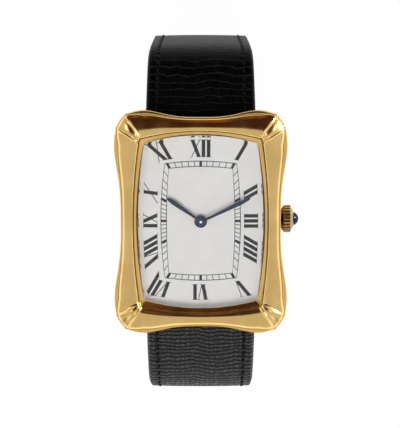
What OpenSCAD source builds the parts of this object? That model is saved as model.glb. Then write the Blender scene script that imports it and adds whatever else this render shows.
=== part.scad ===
// Rectangular wristwatch with a bamboo-form bezel, closed on its leather strap.
// +Z is the dial side, +Y is twelve o'clock and +X is the crown side.
// The origin is the centre of the fixed keeper's underside, where the closed strap
// stands on a table. The hands turn about the Z axis.

/* [Case outline] */
// Half width of the case at its waist
waist_half_w = 13; // [12.8:0.05:13.3]
// Half width of the case where the side bars swell
lobe_half_w = 14.05; // [13.6:0.05:14.6]
// Height over the middle at which the side bars are widest
lobe_y = 12.6; // [12.2:0.1:13]
// Half height of the case at the middle of its end bars
waist_half_h = 17.3; // [17:0.05:17.6]
// Half height of the case where the end bars swell
lobe_half_h = 18.4; // [18:0.05:18.8]
// Distance from the middle at which the end bars are tallest
lobe_x = 9.2; // [8.8:0.1:9.6]
// Height at which each corner is cut off on the sides
corner_y = 15.5; // [15.2:0.1:15.8]
// Width at which each corner is cut off on the ends
corner_x = 12.2; // [11.9:0.1:12.5]
// Bulge of each cut corner between its two ridges
corner_bulge = 0.15; // [0.1:0.05:0.4]

/* [Case] */
// Height of the case back's outer face over the table
back_z = 45; // [42:0.5:48]
// Thickness of the case back
back_t = 0.8; // [0.6:0.1:0.8]
// Height of the case middle from the back's outer face to the bezel seat
middle_t = 5.9; // [5.8:0.1:6.2]
// Height of the rim over the bezel seat
rim_h = 1.1; // [0.9:0.05:1.2]
// Width of the rim outside the bars at their middle
rim_w = 0.3; // [0.25:0.05:0.4]
// Width of the rim where the bars swell
rim_lobe_w = 0.8; // [0.6:0.05:0.9]
// Width of the rim round each corner facet
rim_corner_w = 0.15; // [0.1:0.05:0.5]
// Distance by which the case middle stands in from the outline
flank_inset = 1.05; // [0.8:0.05:1.1]
// Half width of the movement's cavity
cavity_half_w = 10.9; // [10.5:0.1:11]
// Half height of the movement's cavity
cavity_half_h = 12.6; // [12:0.1:12.9]
// Radius of the cavity's corners
cavity_corner_r = 4.5; // [4.3:0.1:4.8]
// Distance from the middle to the wall behind each strap end
strap_wall_y = 14.3; // [14.1:0.1:14.4]

/* [Bezel] */
// Half width of the dial opening at its middle
open_half_w = 10.16; // [9.9:0.02:10.3]
// Half height of the dial opening at its middle
open_half_h = 14.25; // [14:0.05:14.4]
// Radius of the opening's long sides
open_side_r = 85; // [75:1:100]
// Radius of the opening's short ends
open_end_r = 34; // [32:0.5:40]
// Half width at which the opening's ends meet the corners
open_corner_x = 9; // [8.8:0.05:9.1]
// Half height at which the opening's sides meet the corners
open_corner_y = 12.6; // [12.4:0.05:12.7]
// Width of the sloping lip between the opening and the bars
lip_w = 0.7; // [0.5:0.05:0.9]
// Height of a bar's crest over the bezel seat at mid-length
bar_h = 1.9; // [1.5:0.05:2.4]
// Height of a bar's crest over the bezel seat beside a corner
bar_end_h = 2.25; // [2:0.05:2.5]
// Height of the corner facets over the bezel seat
gusset_h = 2.45; // [2:0.05:2.6]
// Rise of the ridges that frame each corner facet
ridge_h = 0.25; // [0.15:0.05:0.4]
// Half width of those ridges at the outline
ridge_half_w = 0.3; // [0.2:0.02:0.4]

/* [Crystal and dial] */
// Clearance of the crystal in the opening
crystal_gap = 0.05; // [0.03:0.01:0.08]
// Width of the flange that holds the crystal under the bezel
flange_w = 0.4; // [0.3:0.05:0.5]
// Radius of the crystal's domed top
crystal_r = 160; // [150:5:200]
// Height of the crystal's top over the bezel seat
crystal_top = 2.05; // [1.9:0.05:2.1]
// Thickness of the dial
dial_t = 0.4; // [0.3:0.05:0.5]
// Radius of the hole in the dial
dial_hole_r = 0.95; // [0.9:0.05:1]

/* [Hands] */
// Hours that the watch shows at rest
shown_hour = 10; // [0:1:11]
// Minutes that the watch shows at rest
shown_minute = 10.7; // [0:0.1:59.9]
// Length of the hour hand
hour_len = 6.75; // [6:0.05:7.5]
// Length of the minute hand
minute_len = 8.95; // [8:0.05:9.2]
// Greatest width of the hour hand
hour_w = 0.76; // [0.5:0.02:0.8]
// Greatest width of the minute hand
minute_w = 0.68; // [0.4:0.02:0.7]
// Radius of the hour hand's boss
boss_r = 1.02; // [0.95:0.02:1.1]
// Thickness of a hand
hand_t = 0.14; // [0.1:0.02:0.2]

/* [Crown] */
// Radius of the crown over its flutes
crown_r = 2.23; // [2:0.05:2.3]
// Length of the crown's fluted barrel
crown_l = 1.15; // [0.9:0.05:1.4]
// Number of flutes round the crown
flutes = 24; // [18:2:30]
// Radius of the stone set in the crown
stone_r = 1.06; // [0.9:0.02:1.15]
// Distance by which the crown pulls out
crown_pull = 0.8; // [0.5:0.05:1]
// Radius of the winding stem
stem_r = 0.45; // [0.4:0.01:0.5]

/* [Strap] */
// Width of the strap at the case
strap_w = 18; // [17.4:0.1:18.2]
// Width of the strap at the buckle
strap_end_w = 16; // [15:0.1:16.2]
// Thickness of the strap at the case
strap_t = 2.7; // [2.4:0.1:2.8]
// Thickness of the buckle half where the tail lies over it
lining_t = 2.1; // [1.9:0.05:2.2]
// Thickness of the tail
tail_t = 1.8; // [1.6:0.05:1.9]
// Furthest reach of the strap past twelve o'clock
reach_12 = 27.7; // [27.6:0.1:29]
// Furthest reach of the strap past six o'clock
reach_6 = 30.3; // [29.5:0.1:31.5]
// Radius of the spring bars
spring_bar_r = 0.75; // [0.7:0.01:0.8]
// Radius of the spring bars' tips
bar_tip_r = 0.42; // [0.38:0.01:0.45]
// Running clearance of a pin in its hole
pin_gap = 0.05; // [0.03:0.01:0.08]
// Radius of the adjusting holes
hole_r = 0.95; // [0.9:0.05:1.1]
// Distance between adjusting holes
hole_pitch = 6; // [5:0.1:6.5]
// Number of adjusting holes, with the one that the tang is in
holes = 4; // [2:1:4]

/* [Buckle and keepers] */
// Distance of the buckle's pin from the middle of the fixed keeper
pin_y = 5; // [4.8:0.1:6]
// Distance from the buckle's pin to its cross bar
frame_l = 8.6; // [8:0.1:10]
// Radius of the cross bar
cross_r = 0.95; // [0.85:0.05:1]
// Radius of the buckle's pin
pin_r = 0.6; // [0.5:0.02:0.65]
// Distance from the buckle's pin to the hole that the tang goes through
tang_drop = 2.6; // [2.5:0.05:2.7]
// Width of the tang
tang_w = 1.4; // [1.2:0.05:1.5]
// Width of each keeper
keeper_w = 4.6; // [4:0.1:4.8]
// Thickness of the keepers
keeper_t = 0.9; // [0.8:0.05:1]
// Distance from the fixed keeper to the sliding keeper, centre to centre
keeper_y = 8; // [7.6:0.1:8.4]

/* [Movement] */
// Radius of the movement
movement_r = 9.7; // [9.5:0.05:10]
// Thickness of the movement's main plate
plate_t = 1.2; // [1.1:0.05:1.3]
// Depth of the space for the wheels between plate and bridges
train_h = 1.25; // [1.2:0.05:1.3]
// Thickness of the bridges
bridge_t = 0.6; // [0.5:0.05:0.7]

/* [Hidden] */
$fn = 48;
eps = 0.01;

// Heights over the table
seat_z = back_z + middle_t;
dial_z = seat_z - 0.85;
dial_top = dial_z + dial_t;
plate_z = dial_z - 0.75 - plate_t;
train_z = plate_z - train_h;
bridge_z = train_z - bridge_t;
stem_z = plate_z + plate_t / 2 - 0.04;
hour_z = dial_top + 0.45;
minute_z = hour_z + hand_t + 0.2;
ledge_z = seat_z + 0.65;
gold = [0.86, 0.66, 0.30];
steel = [0.72, 0.73, 0.75];
brass = [0.80, 0.68, 0.38];
blued = [0.10, 0.12, 0.24];
leather = [0.06, 0.06, 0.07];

function mix(a, b, f) = a + (b - a) * f;
function unit(v) = v / norm(v);
function flip(v) = [for (i = [len(v) - 1:-1:0]) v[i]];

// The swelling of a bamboo bar from its waist, 0, to its knot, 1, and a little past it
function swell(u) = (1 - cos(180 * pow(u, 1.6))) / 2;
function side_x(y) = waist_half_w + (lobe_half_w - waist_half_w) * swell(abs(y) / lobe_y);
function end_y(x) = waist_half_h + (lobe_half_h - waist_half_h) * swell(abs(x) / lobe_x);
function open_x(y) = open_half_w - open_side_r + sqrt(open_side_r * open_side_r - y * y);
function open_y(x) = open_half_h - open_end_r + sqrt(open_end_r * open_end_r - x * x);

// A station is [point on the case's outline, point on the opening, crest height, ridge height, rim width]
corner_a = [side_x(corner_y), corner_y];
corner_b = [corner_x, end_y(corner_x)];
inner_a = [open_x(open_corner_y), open_corner_y];
inner_b = [open_corner_x, open_y(open_corner_x)];
cut_l = norm(corner_b - corner_a);
side_steps = 12;
end_steps = 10;
cut_steps = 4;
ridge_f = ridge_half_w / cut_l;
function bar_crest(f) = mix(bar_h, bar_end_h, f * f);
// The rim widens with the bar's swelling and runs out towards the corner's ridge
function rim_at(u, left) = mix(rim_corner_w, mix(rim_w, rim_lobe_w, swell(u)), min(1, left / rim_fade));
rim_fade = 2.5;
function side_station(f) = [[side_x(f * corner_y), f * corner_y],
    [open_x(f * open_corner_y), f * open_corner_y], bar_crest(f), 0,
    rim_at(f * corner_y / lobe_y, (1 - f) * corner_y)];
function end_station(f) = [[f * corner_x, end_y(f * corner_x)],
    [f * open_corner_x, open_y(f * open_corner_x)], bar_crest(f), 0,
    rim_at(f * corner_x / lobe_x, (1 - f) * corner_x)];
cut_out = [corner_b[1] - corner_a[1], corner_a[0] - corner_b[0]] / cut_l * corner_bulge;
function cut_station(f, h, ridge = 0) = [mix(corner_a, corner_b, f) + cut_out * sin(180 * f),
    mix(inner_a, inner_b, f), h, ridge, rim_corner_w];
quarter = concat(
    [for (i = [0:side_steps]) side_station(i / side_steps * (1 - ridge_half_w / corner_y))],
    [cut_station(0, bar_end_h, ridge_h)],
    [for (i = [0:cut_steps]) let (f = mix(ridge_f, 1 - ridge_f, i / cut_steps))
        cut_station(f, mix(bar_end_h, gusset_h, 4 * f * (1 - f)))],
    [cut_station(1, bar_end_h, ridge_h)],
    [for (i = [end_steps:-1:0]) end_station(i / end_steps * (1 - ridge_half_w / corner_x))]);
function mirrored(v, sx, sy) = [for (s = v)
    [[s[0][0] * sx, s[0][1] * sy], [s[1][0] * sx, s[1][1] * sy], s[2], s[3], s[4]]];
function without_ends(v) = [for (i = [1:len(v) - 2]) v[i]];
stations = concat(quarter, without_ends(flip(mirrored(quarter, -1, 1))),
    mirrored(quarter, -1, -1), without_ends(flip(mirrored(quarter, 1, -1))));
// The case's outline moved in by a distance, along the stations
function inset(s, d) = s[0] + unit(s[1] - s[0]) * d;
// The opening's outline grown by a distance
function grown(s, d) = [s[1][0] * (1 + d / open_half_w), s[1][1] * (1 + d / open_half_h)];
function opening_outline(d) = [for (s = stations) grown(s, d)];
function opening_level(d, z) = [for (s = stations) concat(grown(s, d), z)];

// Faces that join rings of n points each; closed joins the last ring to the first
function tube_faces(rings, n, closed) = [for (i = [0:rings - (closed ? 1 : 2)], j = [0:n - 1])
    let (a = i * n + j, b = i * n + (j + 1) % n,
        c = ((i + 1) % rings) * n + j, d = ((i + 1) % rings) * n + (j + 1) % n)
    each [[a, b, d], [a, d, c]]];
// Fans that close the first and last ring of a tube onto two centre points
function cap_faces(rings, n) = concat(
    [for (j = [0:n - 1]) [rings * n, (j + 1) % n, j]],
    [for (j = [0:n - 1]) [rings * n + 1, (rings - 1) * n + j, (rings - 1) * n + (j + 1) % n]]);

// A solid through rings of points, closed at both ends
module lofted(rings) {
    n = len(rings[0]);
    m = len(rings);
    centres = [for (r = [rings[0], rings[m - 1]])
        [for (k = [0:2]) [for (p = r) p[k]] * [for (p = r) 1 / n]]];
    polyhedron(concat([for (r = rings) each r], centres),
        concat(tube_faces(m, n, false), cap_faces(m, n)), convexity = 6);
}

// A rod, or the bore that takes one, along X and centred on x = 0
module rod(y, z, r, l) {
    translate([-l / 2, y, z]) rotate([0, 90, 0]) cylinder(r = r, h = l);
}

// The case middle is a drum with four lugs; a spigot on top centres the bezel ring
foot_inset = flank_inset + 0.2;
foot_h = 0.6;
ring_z = seat_z - 1.6;
gasket_h = 0.45;
lug_inner_x = strap_w / 2 + 0.15;
lug_l = lobe_half_h - strap_wall_y + 2;
bar_y = strap_wall_y + 0.3 + strap_t / 2 + 0.1;
bar_z = back_z + 1.0 + strap_t / 2;
dial_pocket = 0.45;
back_half_w = cavity_half_w + 0.45;
back_half_h = cavity_half_h + 0.9;
back_corner_r = 1.6;
back_screw_x = back_half_w - 1.4;
back_screw_y = back_half_h - 1.4;

module rounded_plate(hw, hh, r, z, t) {
    translate([0, 0, z]) linear_extrude(t) {
        square([2 * (hw - r), 2 * hh], center = true);
        square([2 * hw, 2 * (hh - r)], center = true);
        for (sx = [-1, 1], sy = [-1, 1]) translate([sx * (hw - r), sy * (hh - r)]) circle(r = r);
    }
}

module case_outline(d) polygon([for (s = stations) inset(s, d)]);

module case_middle() color(gold) {
    difference() {
        union() {
            translate([0, 0, back_z + back_t]) linear_extrude(foot_h + eps) case_outline(foot_inset);
            translate([0, 0, back_z + back_t + foot_h]) linear_extrude(ring_z - back_z - back_t - foot_h)
                case_outline(flank_inset);
            translate([0, 0, ring_z - 0.1]) linear_extrude(dial_z - ring_z + 0.1)
                polygon(opening_outline(dial_pocket - pin_gap));
        }
        for (s = [-1, 1]) {
            translate([-lug_inner_x, s > 0 ? strap_wall_y : -strap_wall_y - lug_l, back_z - 1])
                cube([2 * lug_inner_x, lug_l, ring_z - back_z + 1]);
            rod(s * bar_y, bar_z, bar_tip_r + pin_gap, 2 * lug_inner_x + 2.4);
        }
        rounded_plate(cavity_half_w, cavity_half_h, cavity_corner_r, back_z, middle_t);
        rounded_plate(back_half_w + pin_gap, back_half_h + pin_gap, back_corner_r, back_z,
            back_t + gasket_h);
        for (sx = [-1, 1], sy = [-1, 1]) translate([sx * back_screw_x, sy * back_screw_y, back_z])
            cylinder(r = 0.45, h = back_t + 1.6);
        translate([0, 0, stem_z]) rotate([0, 90, 0]) cylinder(r = tube_r, h = 20);
    }
}

// The bezel: four bars like bamboo canes that swell to each corner, where two
// ridges spread from the opening's corner to frame a facet across the cut corner
crest_steps = 10;
function crest(t) = pow(1 - pow(2 * pow(t, crest_skew) - 1, 2), 0.7);
lip_h = 0.85;
inner_lip = 1.1;
// Power that brings a bar's crest to a third of its width from the dial
crest_skew = 0.63;
outer_lip = rim_h + 0.04;
// The rim is the ring's rounded shoulder: [distance in from the outline, height over the seat]
rim = [[0.03, rim_h - 0.25], [0, rim_h - 0.6], [0.12, -0.4], [0.55, ring_z - seat_z]];
function bezel_section(s) = let (a = grown(s, lip_w), b = inset(s, s[4]), d = b - a) concat(
    [for (k = [0:crest_steps]) let (t = (1 - cos(180 * k / crest_steps)) / 2,
        lip = mix(inner_lip, outer_lip, t))
        concat(a + d * t, seat_z + lip + (s[2] - lip) * crest(t) + s[3] * sqrt(4 * t * (1 - t)))],
    [concat(inset(s, s[4] - 0.04), seat_z + rim_h),
        concat(inset(s, min(0.16, s[4] / 2)), seat_z + rim_h - 0.03)],
    [for (r = rim) concat(inset(s, r[0]), seat_z + r[1])],
    [concat(grown(s, dial_pocket), ring_z), concat(grown(s, dial_pocket), ledge_z),
        concat(s[1], ledge_z), concat(s[1], seat_z + lip_h)]);

module bezel() color(gold) {
    rings = [for (s = stations) bezel_section(s)];
    polyhedron([for (r = rings) each r], tube_faces(len(rings), len(rings[0]), true), convexity = 8);
}

module case_back() color(gold) {
    difference() {
        union() {
            rounded_plate(back_half_w, back_half_h, back_corner_r, back_z, back_t);
            rounded_plate(cavity_half_w - pin_gap, cavity_half_h - pin_gap, cavity_corner_r,
                back_z + back_t - eps, 0.2);
        }
        for (sx = [-1, 1], sy = [-1, 1]) translate([sx * back_screw_x, sy * back_screw_y, back_z - eps]) {
            cylinder(r = 0.5, h = 3);
            cylinder(r = 0.85 + pin_gap, h = 0.45);
        }
        rounded_plate(cavity_half_w - 1, cavity_half_h - 1, cavity_corner_r - 1, back_z + back_t - 0.1, 1);
    }
}

module back_gasket() color([0.1, 0.1, 0.1]) {
    difference() {
        rounded_plate(back_half_w - 0.02, back_half_h - 0.02, back_corner_r, back_z + back_t + 0.03,
            gasket_h - 0.07);
        rounded_plate(cavity_half_w + 0.02, cavity_half_h + 0.02, cavity_corner_r, back_z + back_t - 1, 2);
        for (sx = [-1, 1], sy = [-1, 1]) translate([sx * back_screw_x, sy * back_screw_y, back_z])
            cylinder(r = 0.5, h = 3);
    }
}

module back_screws() color(gold) {
    for (sx = [-1, 1], sy = [-1, 1]) translate([sx * back_screw_x, sy * back_screw_y, back_z + 0.03]) {
        difference() {
            union() {
                cylinder(r = 0.85, h = 0.4);
                cylinder(r = 0.42, h = back_t + 1.3);
            }
            translate([-1, -0.12, -eps]) cube([2, 0.24, 0.16]);
        }
    }
}

// The crystal: a flange under the bezel's ledge, a wall through the opening and a dome
crystal_under_z = seat_z + 0.85;
crystal_flange_z = seat_z + 0.12;
function dome_level(k) = [for (s = stations) let (p = k * grown(s, -crystal_gap))
    concat(p, seat_z + crystal_top - (p * p) / (2 * crystal_r))];
module crystal() color([0.85, 0.9, 0.92, 0.4]) {
    flange = flange_w - 0.05;
    lofted([opening_level(-1, crystal_under_z), opening_level(-1, crystal_flange_z),
        opening_level(flange, crystal_flange_z), opening_level(flange, ledge_z - 0.03),
        opening_level(-crystal_gap, ledge_z - 0.03), dome_level(1), dome_level(0.75), dome_level(0.45),
            dome_level(0.15)]);
}

module crystal_gasket() color([0.92, 0.92, 0.9]) {
    translate([0, 0, dial_top + 0.02]) linear_extrude(crystal_flange_z - dial_top - 0.05) difference() {
        polygon(opening_outline(flange_w - 0.02));
        polygon(opening_outline(0.02));
    }
}

module dial() color([0.93, 0.93, 0.91]) {
    difference() {
        union() {
            translate([0, 0, dial_z]) linear_extrude(dial_t) polygon(opening_outline(dial_pocket - 0.05));
            for (a = foot_angles) rotate(a) translate([foot_at, 0, plate_z + plate_t - 0.6])
                cylinder(r = 0.35, h = dial_z - plate_z - plate_t + 0.6 + eps);
        }
        translate([0, 0, dial_z - dial_t]) cylinder(r = dial_hole_r, h = 3 * dial_t);
    }
}
foot_angles = [70, 250];
foot_at = movement_r - 1.2;

// Hands: a boss with a hole, and a blade that widens towards its tip and then points
module hand(l, w, neck_w, hub_r, hole) {
    difference() {
        union() {
            cylinder(r = hub_r, h = hand_t);
            linear_extrude(hand_t) polygon([[-neck_w / 2, hole + 0.1], [-w / 2, l * 0.8],
                [-w * 0.3, l * 0.96], [0, l], [w * 0.3, l * 0.96], [w / 2, l * 0.8],
                [neck_w / 2, hole + 0.1]]);
        }
        translate([0, 0, -1]) cylinder(r = hole, h = 3);
    }
}

minute_turn = -shown_minute * 6;
hour_turn = -(shown_hour + shown_minute / 60) * 30;
cannon_tip_r = 0.34;
neck_w = 0.32;
hour_pipe_r = 0.72;

module minute_hand() color(blued) {
    translate([0, 0, minute_z]) rotate(minute_turn) hand(minute_len, minute_w, neck_w, 0.72, cannon_tip_r);
}
module hour_hand() color(blued) {
    translate([0, 0, hour_z]) rotate(hour_turn) hand(hour_len, hour_w, neck_w, boss_r, hour_pipe_r);
}

// A spur wheel: tooth_count teeth of the given module, with a tooth on the angle given
module toothed(tooth_count, m, at, thick, hole = 0) {
    pitch = 360 / tooth_count;
    root = m * (tooth_count / 2 - 1.25);
    tip = m * (tooth_count / 2 + 0.9);
    rotate(at) linear_extrude(thick) difference() {
        polygon([for (i = [0:tooth_count - 1], p = [[-0.26, root], [-0.1, tip], [0.1, tip], [0.26, root]])
            p[1] * [cos(pitch * (i + p[0])), sin(pitch * (i + p[0]))]]);
        if (hole > 0) circle(r = hole);
    }
}
// The angle that sets a gap of a wheel against the tooth of its mate at angle a
function meshed(a, tooth_count) = a + 180 + 180 / tooth_count;
function place(r, a) = [r * cos(a), r * sin(a), 0];
// The angle from one place to another
function aim(p, q) = atan2(q[1] - p[1], q[0] - p[0]);

barrel_m = 0.1;
barrel_teeth = 84;
centre_leaves = 12;
centre_teeth = 80;
third_leaves = 10;
third_m = 0.1;
third_teeth = 75;
fourth_leaves = 10;
fourth_m = 0.095;
fourth_teeth = 80;
escape_leaves = 8;
escape_m = 0.085;
escape_teeth = 15;
cannon_leaves = 12;
minute_teeth = 36;
minute_leaves = 10;
hour_teeth = 40;
work_m = 0.1;
hour_m = work_m * (cannon_leaves + minute_teeth) / (minute_leaves + hour_teeth);
barrel_at = place(barrel_m * (barrel_teeth + centre_leaves) / 2, 45);
third_at = place(third_m * (centre_teeth + third_leaves) / 2, 160);
fourth_at = third_at + place(fourth_m * (third_teeth + fourth_leaves) / 2, -100);
escape_at = fourth_at + place(escape_m * (fourth_teeth + escape_leaves) / 2, -35);
balance_at = [4.0, -4.6, 0];
balance_r = 2.5;
escape_r = 2.0;
fork_at = escape_at + place(escape_r + 0.45, aim(escape_at, balance_at));
minute_wheel_at = place(work_m * (cannon_leaves + minute_teeth) / 2, -60);
centre_at = [0, 0, 0];
arbor_r = 0.16;
jewel_r = arbor_r + pin_gap;
work_z = plate_z + plate_t + 0.08;
tube_r = stem_r + 0.17;

// An upright arbor between the bridges and the plate
module arbor(r = arbor_r) {
    translate([0, 0, bridge_z + 0.1]) cylinder(r = r, h = bridge_t + train_h + plate_t * 0.5);
}

module cannon_pinion() color(steel) {
    difference() {
        union() {
            translate([0, 0, work_z]) toothed(cannon_leaves, work_m,
                meshed(aim(minute_wheel_at, centre_at), cannon_leaves), 0.3);
            translate([0, 0, work_z]) cylinder(r = cannon_tip_r, h = minute_z + hand_t + 0.12 - work_z);
        }
        translate([0, 0, work_z - 1]) cylinder(r = 0.2, h = 3);
    }
}

module hour_wheel() color(brass) {
    difference() {
        union() {
            translate([0, 0, work_z + 0.34])
                toothed(hour_teeth, hour_m, meshed(aim(minute_wheel_at, centre_at), hour_teeth), 0.22);
            translate([0, 0, work_z + 0.34]) cylinder(r = hour_pipe_r, h = hour_z + hand_t - work_z - 0.34);
        }
        translate([0, 0, work_z]) cylinder(r = cannon_tip_r + pin_gap, h = 3);
    }
}

module minute_wheel() color(brass) {
    translate(minute_wheel_at) {
        translate([0, 0, work_z + 0.04])
            toothed(minute_teeth, work_m, aim(minute_wheel_at, centre_at), 0.22);
        translate([0, 0, work_z + 0.25])
            toothed(minute_leaves, hour_m, aim(minute_wheel_at, centre_at), 0.33);
        translate([0, 0, plate_z + plate_t - 0.5]) cylinder(r = arbor_r, h = 0.7);
    }
}

module movement_ring() color(brass) {
    difference() {
        rounded_plate(cavity_half_w - 0.1, cavity_half_h - 0.1, cavity_corner_r, plate_z,
            ring_z - 0.05 - plate_z);
        translate([0, 0, plate_z - 1]) cylinder(r = movement_r + 0.05, h = 4);
        translate([0, 0, stem_z]) rotate([0, 90, 0]) cylinder(r = tube_r + 0.2, h = 20);
    }
}

pinion_x = 6.6;
module main_plate() color(brass) {
    difference() {
        translate([0, 0, plate_z]) cylinder(r = movement_r, h = plate_t);
        translate([0, 0, plate_z - 1]) cylinder(r = 0.32, h = 3);
        for (p = [barrel_at, third_at, fourth_at, escape_at, fork_at, balance_at, minute_wheel_at])
            translate(p + [0, 0, plate_z - 1]) cylinder(r = jewel_r, h = 3);
        for (a = foot_angles) rotate(a) translate([foot_at, 0, plate_z - 1]) cylinder(r = 0.4, h = 3);
        translate([pinion_x - 0.8 - crown_pull, 0, stem_z]) rotate([0, 90, 0])
            cylinder(r = stem_r + pin_gap, h = 20);
        translate([pinion_x - 0.1, -1.25, plate_z - 1]) cube([1.2, 2.5, 4]);
    }
}

// A bridge covers the plate where its disc is cut by a band, on a foot at the rim
module bridge_body(a, w, l0, l1, foot_a) {
    intersection() {
        translate([0, 0, bridge_z]) cylinder(r = movement_r - 0.05, h = bridge_t + train_h);
        union() {
            translate([0, 0, bridge_z]) rotate(a) translate([l0, -w / 2, 0]) cube([l1 - l0, w, bridge_t]);
            rotate(foot_a) translate([movement_r - 0.75, -1.1, bridge_z])
                cube([2, 2.2, bridge_t + train_h - 0.02]);
        }
    }
}

barrel_bridge_w = 9;
module barrel_bridge() color(steel) {
    difference() {
        bridge_body(45, barrel_bridge_w, 0.7, 12, 65);
        translate(barrel_at + [0, 0, bridge_z - 1]) cylinder(r = 0.5 + pin_gap, h = 3);
    }
}
module train_bridge() color(steel) {
    difference() {
        union() {
            bridge_body(180, 7.4, -0.6, 12, 150);
            bridge_body(240, 5.0, 2.2, 12, 228);
        }
        rotate(45) translate([0.55, -barrel_bridge_w / 2 - 0.15, bridge_z - 1])
            cube([12, barrel_bridge_w + 0.3, 4]);
        for (p = [third_at, fourth_at, escape_at]) translate(p + [0, 0, bridge_z - 1])
            cylinder(r = jewel_r, h = 3);
        translate([0, 0, bridge_z - 1]) cylinder(r = jewel_r, h = 3);
    }
}
module balance_cock() color(steel) {
    difference() {
        bridge_body(aim(centre_at, balance_at), 3.0, 4.6, 12, aim(centre_at, balance_at));
        translate(balance_at + [0, 0, bridge_z - 1]) cylinder(r = jewel_r, h = 3);
    }
}

module mainspring_barrel() color(brass) {
    translate(barrel_at) {
        translate([0, 0, train_z + 0.1]) cylinder(r = 3.85, h = 0.74);
        translate([0, 0, train_z + 0.54]) toothed(barrel_teeth, barrel_m, aim(barrel_at, centre_at), 0.3);
        translate([0, 0, bridge_z + 0.1]) cylinder(r = 0.5, h = bridge_t + 0.2);
        translate([0, 0, train_z + 0.5]) cylinder(r = arbor_r, h = train_h);
    }
}

module centre_wheel() color(brass) {
    arbor();
    translate([0, 0, plate_z - 0.2]) cylinder(r = 0.19, h = plate_t + 1.1);
    translate([0, 0, train_z + 0.5])
        toothed(centre_leaves, barrel_m, meshed(aim(barrel_at, centre_at), centre_leaves), 0.42);
    translate([0, 0, train_z + 0.91]) toothed(centre_teeth, third_m, aim(centre_at, third_at), 0.2);
}

module third_wheel() color(brass) {
    translate(third_at) {
        arbor();
        translate([0, 0, train_z + 0.85])
            toothed(third_leaves, third_m, meshed(aim(centre_at, third_at), third_leaves), 0.34);
        translate([0, 0, train_z + 0.22]) toothed(third_teeth, fourth_m, aim(third_at, fourth_at), 0.18);
    }
}

module fourth_wheel() color(brass) {
    translate(fourth_at) {
        arbor();
        translate([0, 0, train_z + 0.15])
            toothed(fourth_leaves, fourth_m, meshed(aim(third_at, fourth_at), fourth_leaves), 0.36);
        translate([0, 0, train_z + 0.6]) toothed(fourth_teeth, escape_m, aim(fourth_at, escape_at), 0.18);
    }
}

module escape_wheel() color(steel) {
    translate(escape_at) {
        arbor(0.14);
        translate([0, 0, train_z + 0.55])
            toothed(escape_leaves, escape_m, meshed(aim(fourth_at, escape_at), escape_leaves), 0.3);
        translate([0, 0, train_z + 0.25]) linear_extrude(0.15)
            polygon([for (i = [0:escape_teeth - 1],
                p = [[0, 1.35], [0.55, escape_r], [0.62, escape_r], [0.3, 1.35]])
                p[1] * [cos(24 * (i + p[0])), sin(24 * (i + p[0]))]]);
    }
}

// Pallet fork: two arms that reach round the escape wheel, and a lever to the balance
module pallet_fork() color(steel) {
    translate(fork_at) {
        arbor(0.14);
        translate([0, 0, train_z + 0.25]) rotate(aim(escape_at, balance_at)) linear_extrude(0.15) {
            circle(r = 0.35);
            polygon([[0, 0.2], [2.7, 0.14], [2.95, 0.34], [3.05, 0.3], [2.85, 0], [3.05, -0.3],
                [2.95, -0.34], [2.7, -0.14], [0, -0.2], [-0.5, -1.9], [-0.75, -1.85], [-0.3, 0],
                [-0.75, 1.85], [-0.5, 1.9]]);
        }
    }
}

module balance_wheel() color(brass) {
    translate(balance_at) {
        arbor(0.14);
        translate([0, 0, train_z + 0.22]) cylinder(r = 0.32, h = 0.2);
        translate([0, 0, train_z + 0.52]) linear_extrude(0.26) {
            difference() {
                circle(r = balance_r);
                circle(r = balance_r - 0.4);
            }
            square([2 * balance_r - 0.4, 0.36], center = true);
            circle(r = 0.5);
        }
    }
}

// The hairspring: a flat spiral, eight steps a turn from its collet to its stud
hair_turns = 7;
hair_steps = hair_turns * 12;
function hair_point(i, side) = let (r = mix(0.34, 1.45, i / hair_steps) + side * 0.02)
    r * [cos(30 * i), sin(30 * i)];
module hairspring() color(blued) {
    translate(balance_at + [0, 0, train_z + 0.05]) difference() {
        union() {
            cylinder(r = 0.36, h = 0.1);
            linear_extrude(0.1) polygon(concat([for (i = [0:hair_steps]) hair_point(i, -1)],
                [for (i = [hair_steps:-1:0]) hair_point(i, 1)]));
        }
        translate([0, 0, -1]) cylinder(r = 0.14 + pin_gap, h = 3);
    }
}

// Crown side
crown_x = waist_half_w + 0.07;
flute_r = 0.22;
module crown() color(gold) {
    translate([crown_x, 0, stem_z]) rotate([0, 90, 0]) difference() {
        rotate_extrude($fn = 96) polygon([[0, 0], [crown_r - 0.7, 0], [crown_r, 0.5],
            [crown_r, 0.35 + crown_l], [crown_r - 0.3, 0.45 + crown_l], [stone_r + 0.25, 0.85 + crown_l],
            [stone_r + 0.02, 0.85 + crown_l], [stone_r + 0.02, 0.5 + crown_l], [0, 0.5 + crown_l]]);
        for (i = [0:flutes - 1]) rotate(i * 360 / flutes) translate([crown_r + flute_r / 5, 0, -eps])
            cylinder(r = flute_r, h = crown_l + 0.7, $fn = 16);
        translate([0, 0, -eps]) cylinder(r = stem_r, h = 0.9);
    }
}

module crown_stone() color([0.10, 0.10, 0.42]) {
    translate([crown_x + 0.52 + crown_l, 0, stem_z]) rotate([0, 90, 0]) intersection() {
        cylinder(r = stone_r - 0.01, h = 2);
        translate([0, 0, 0.05]) sphere(r = stone_r + 0.1);
    }
}

module crown_tube() color(gold) {
    translate([cavity_half_w - 0.3, 0, stem_z]) rotate([0, 90, 0]) difference() {
        cylinder(r = tube_r - 0.01, h = waist_half_w - cavity_half_w + 0.25);
        translate([0, 0, -1]) cylinder(r = stem_r + pin_gap, h = 6);
    }
}

module winding_stem() color(steel) {
    translate([pinion_x - 0.7 - crown_pull, 0, stem_z]) rotate([0, 90, 0])
        cylinder(r = 0.3, h = 2.1 + crown_pull);
    translate([pinion_x + 1.2, 0, stem_z]) rotate([0, 90, 0])
        cylinder(r = stem_r - 0.01, h = crown_x + 0.85 - pinion_x - 1.2);
}

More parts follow.
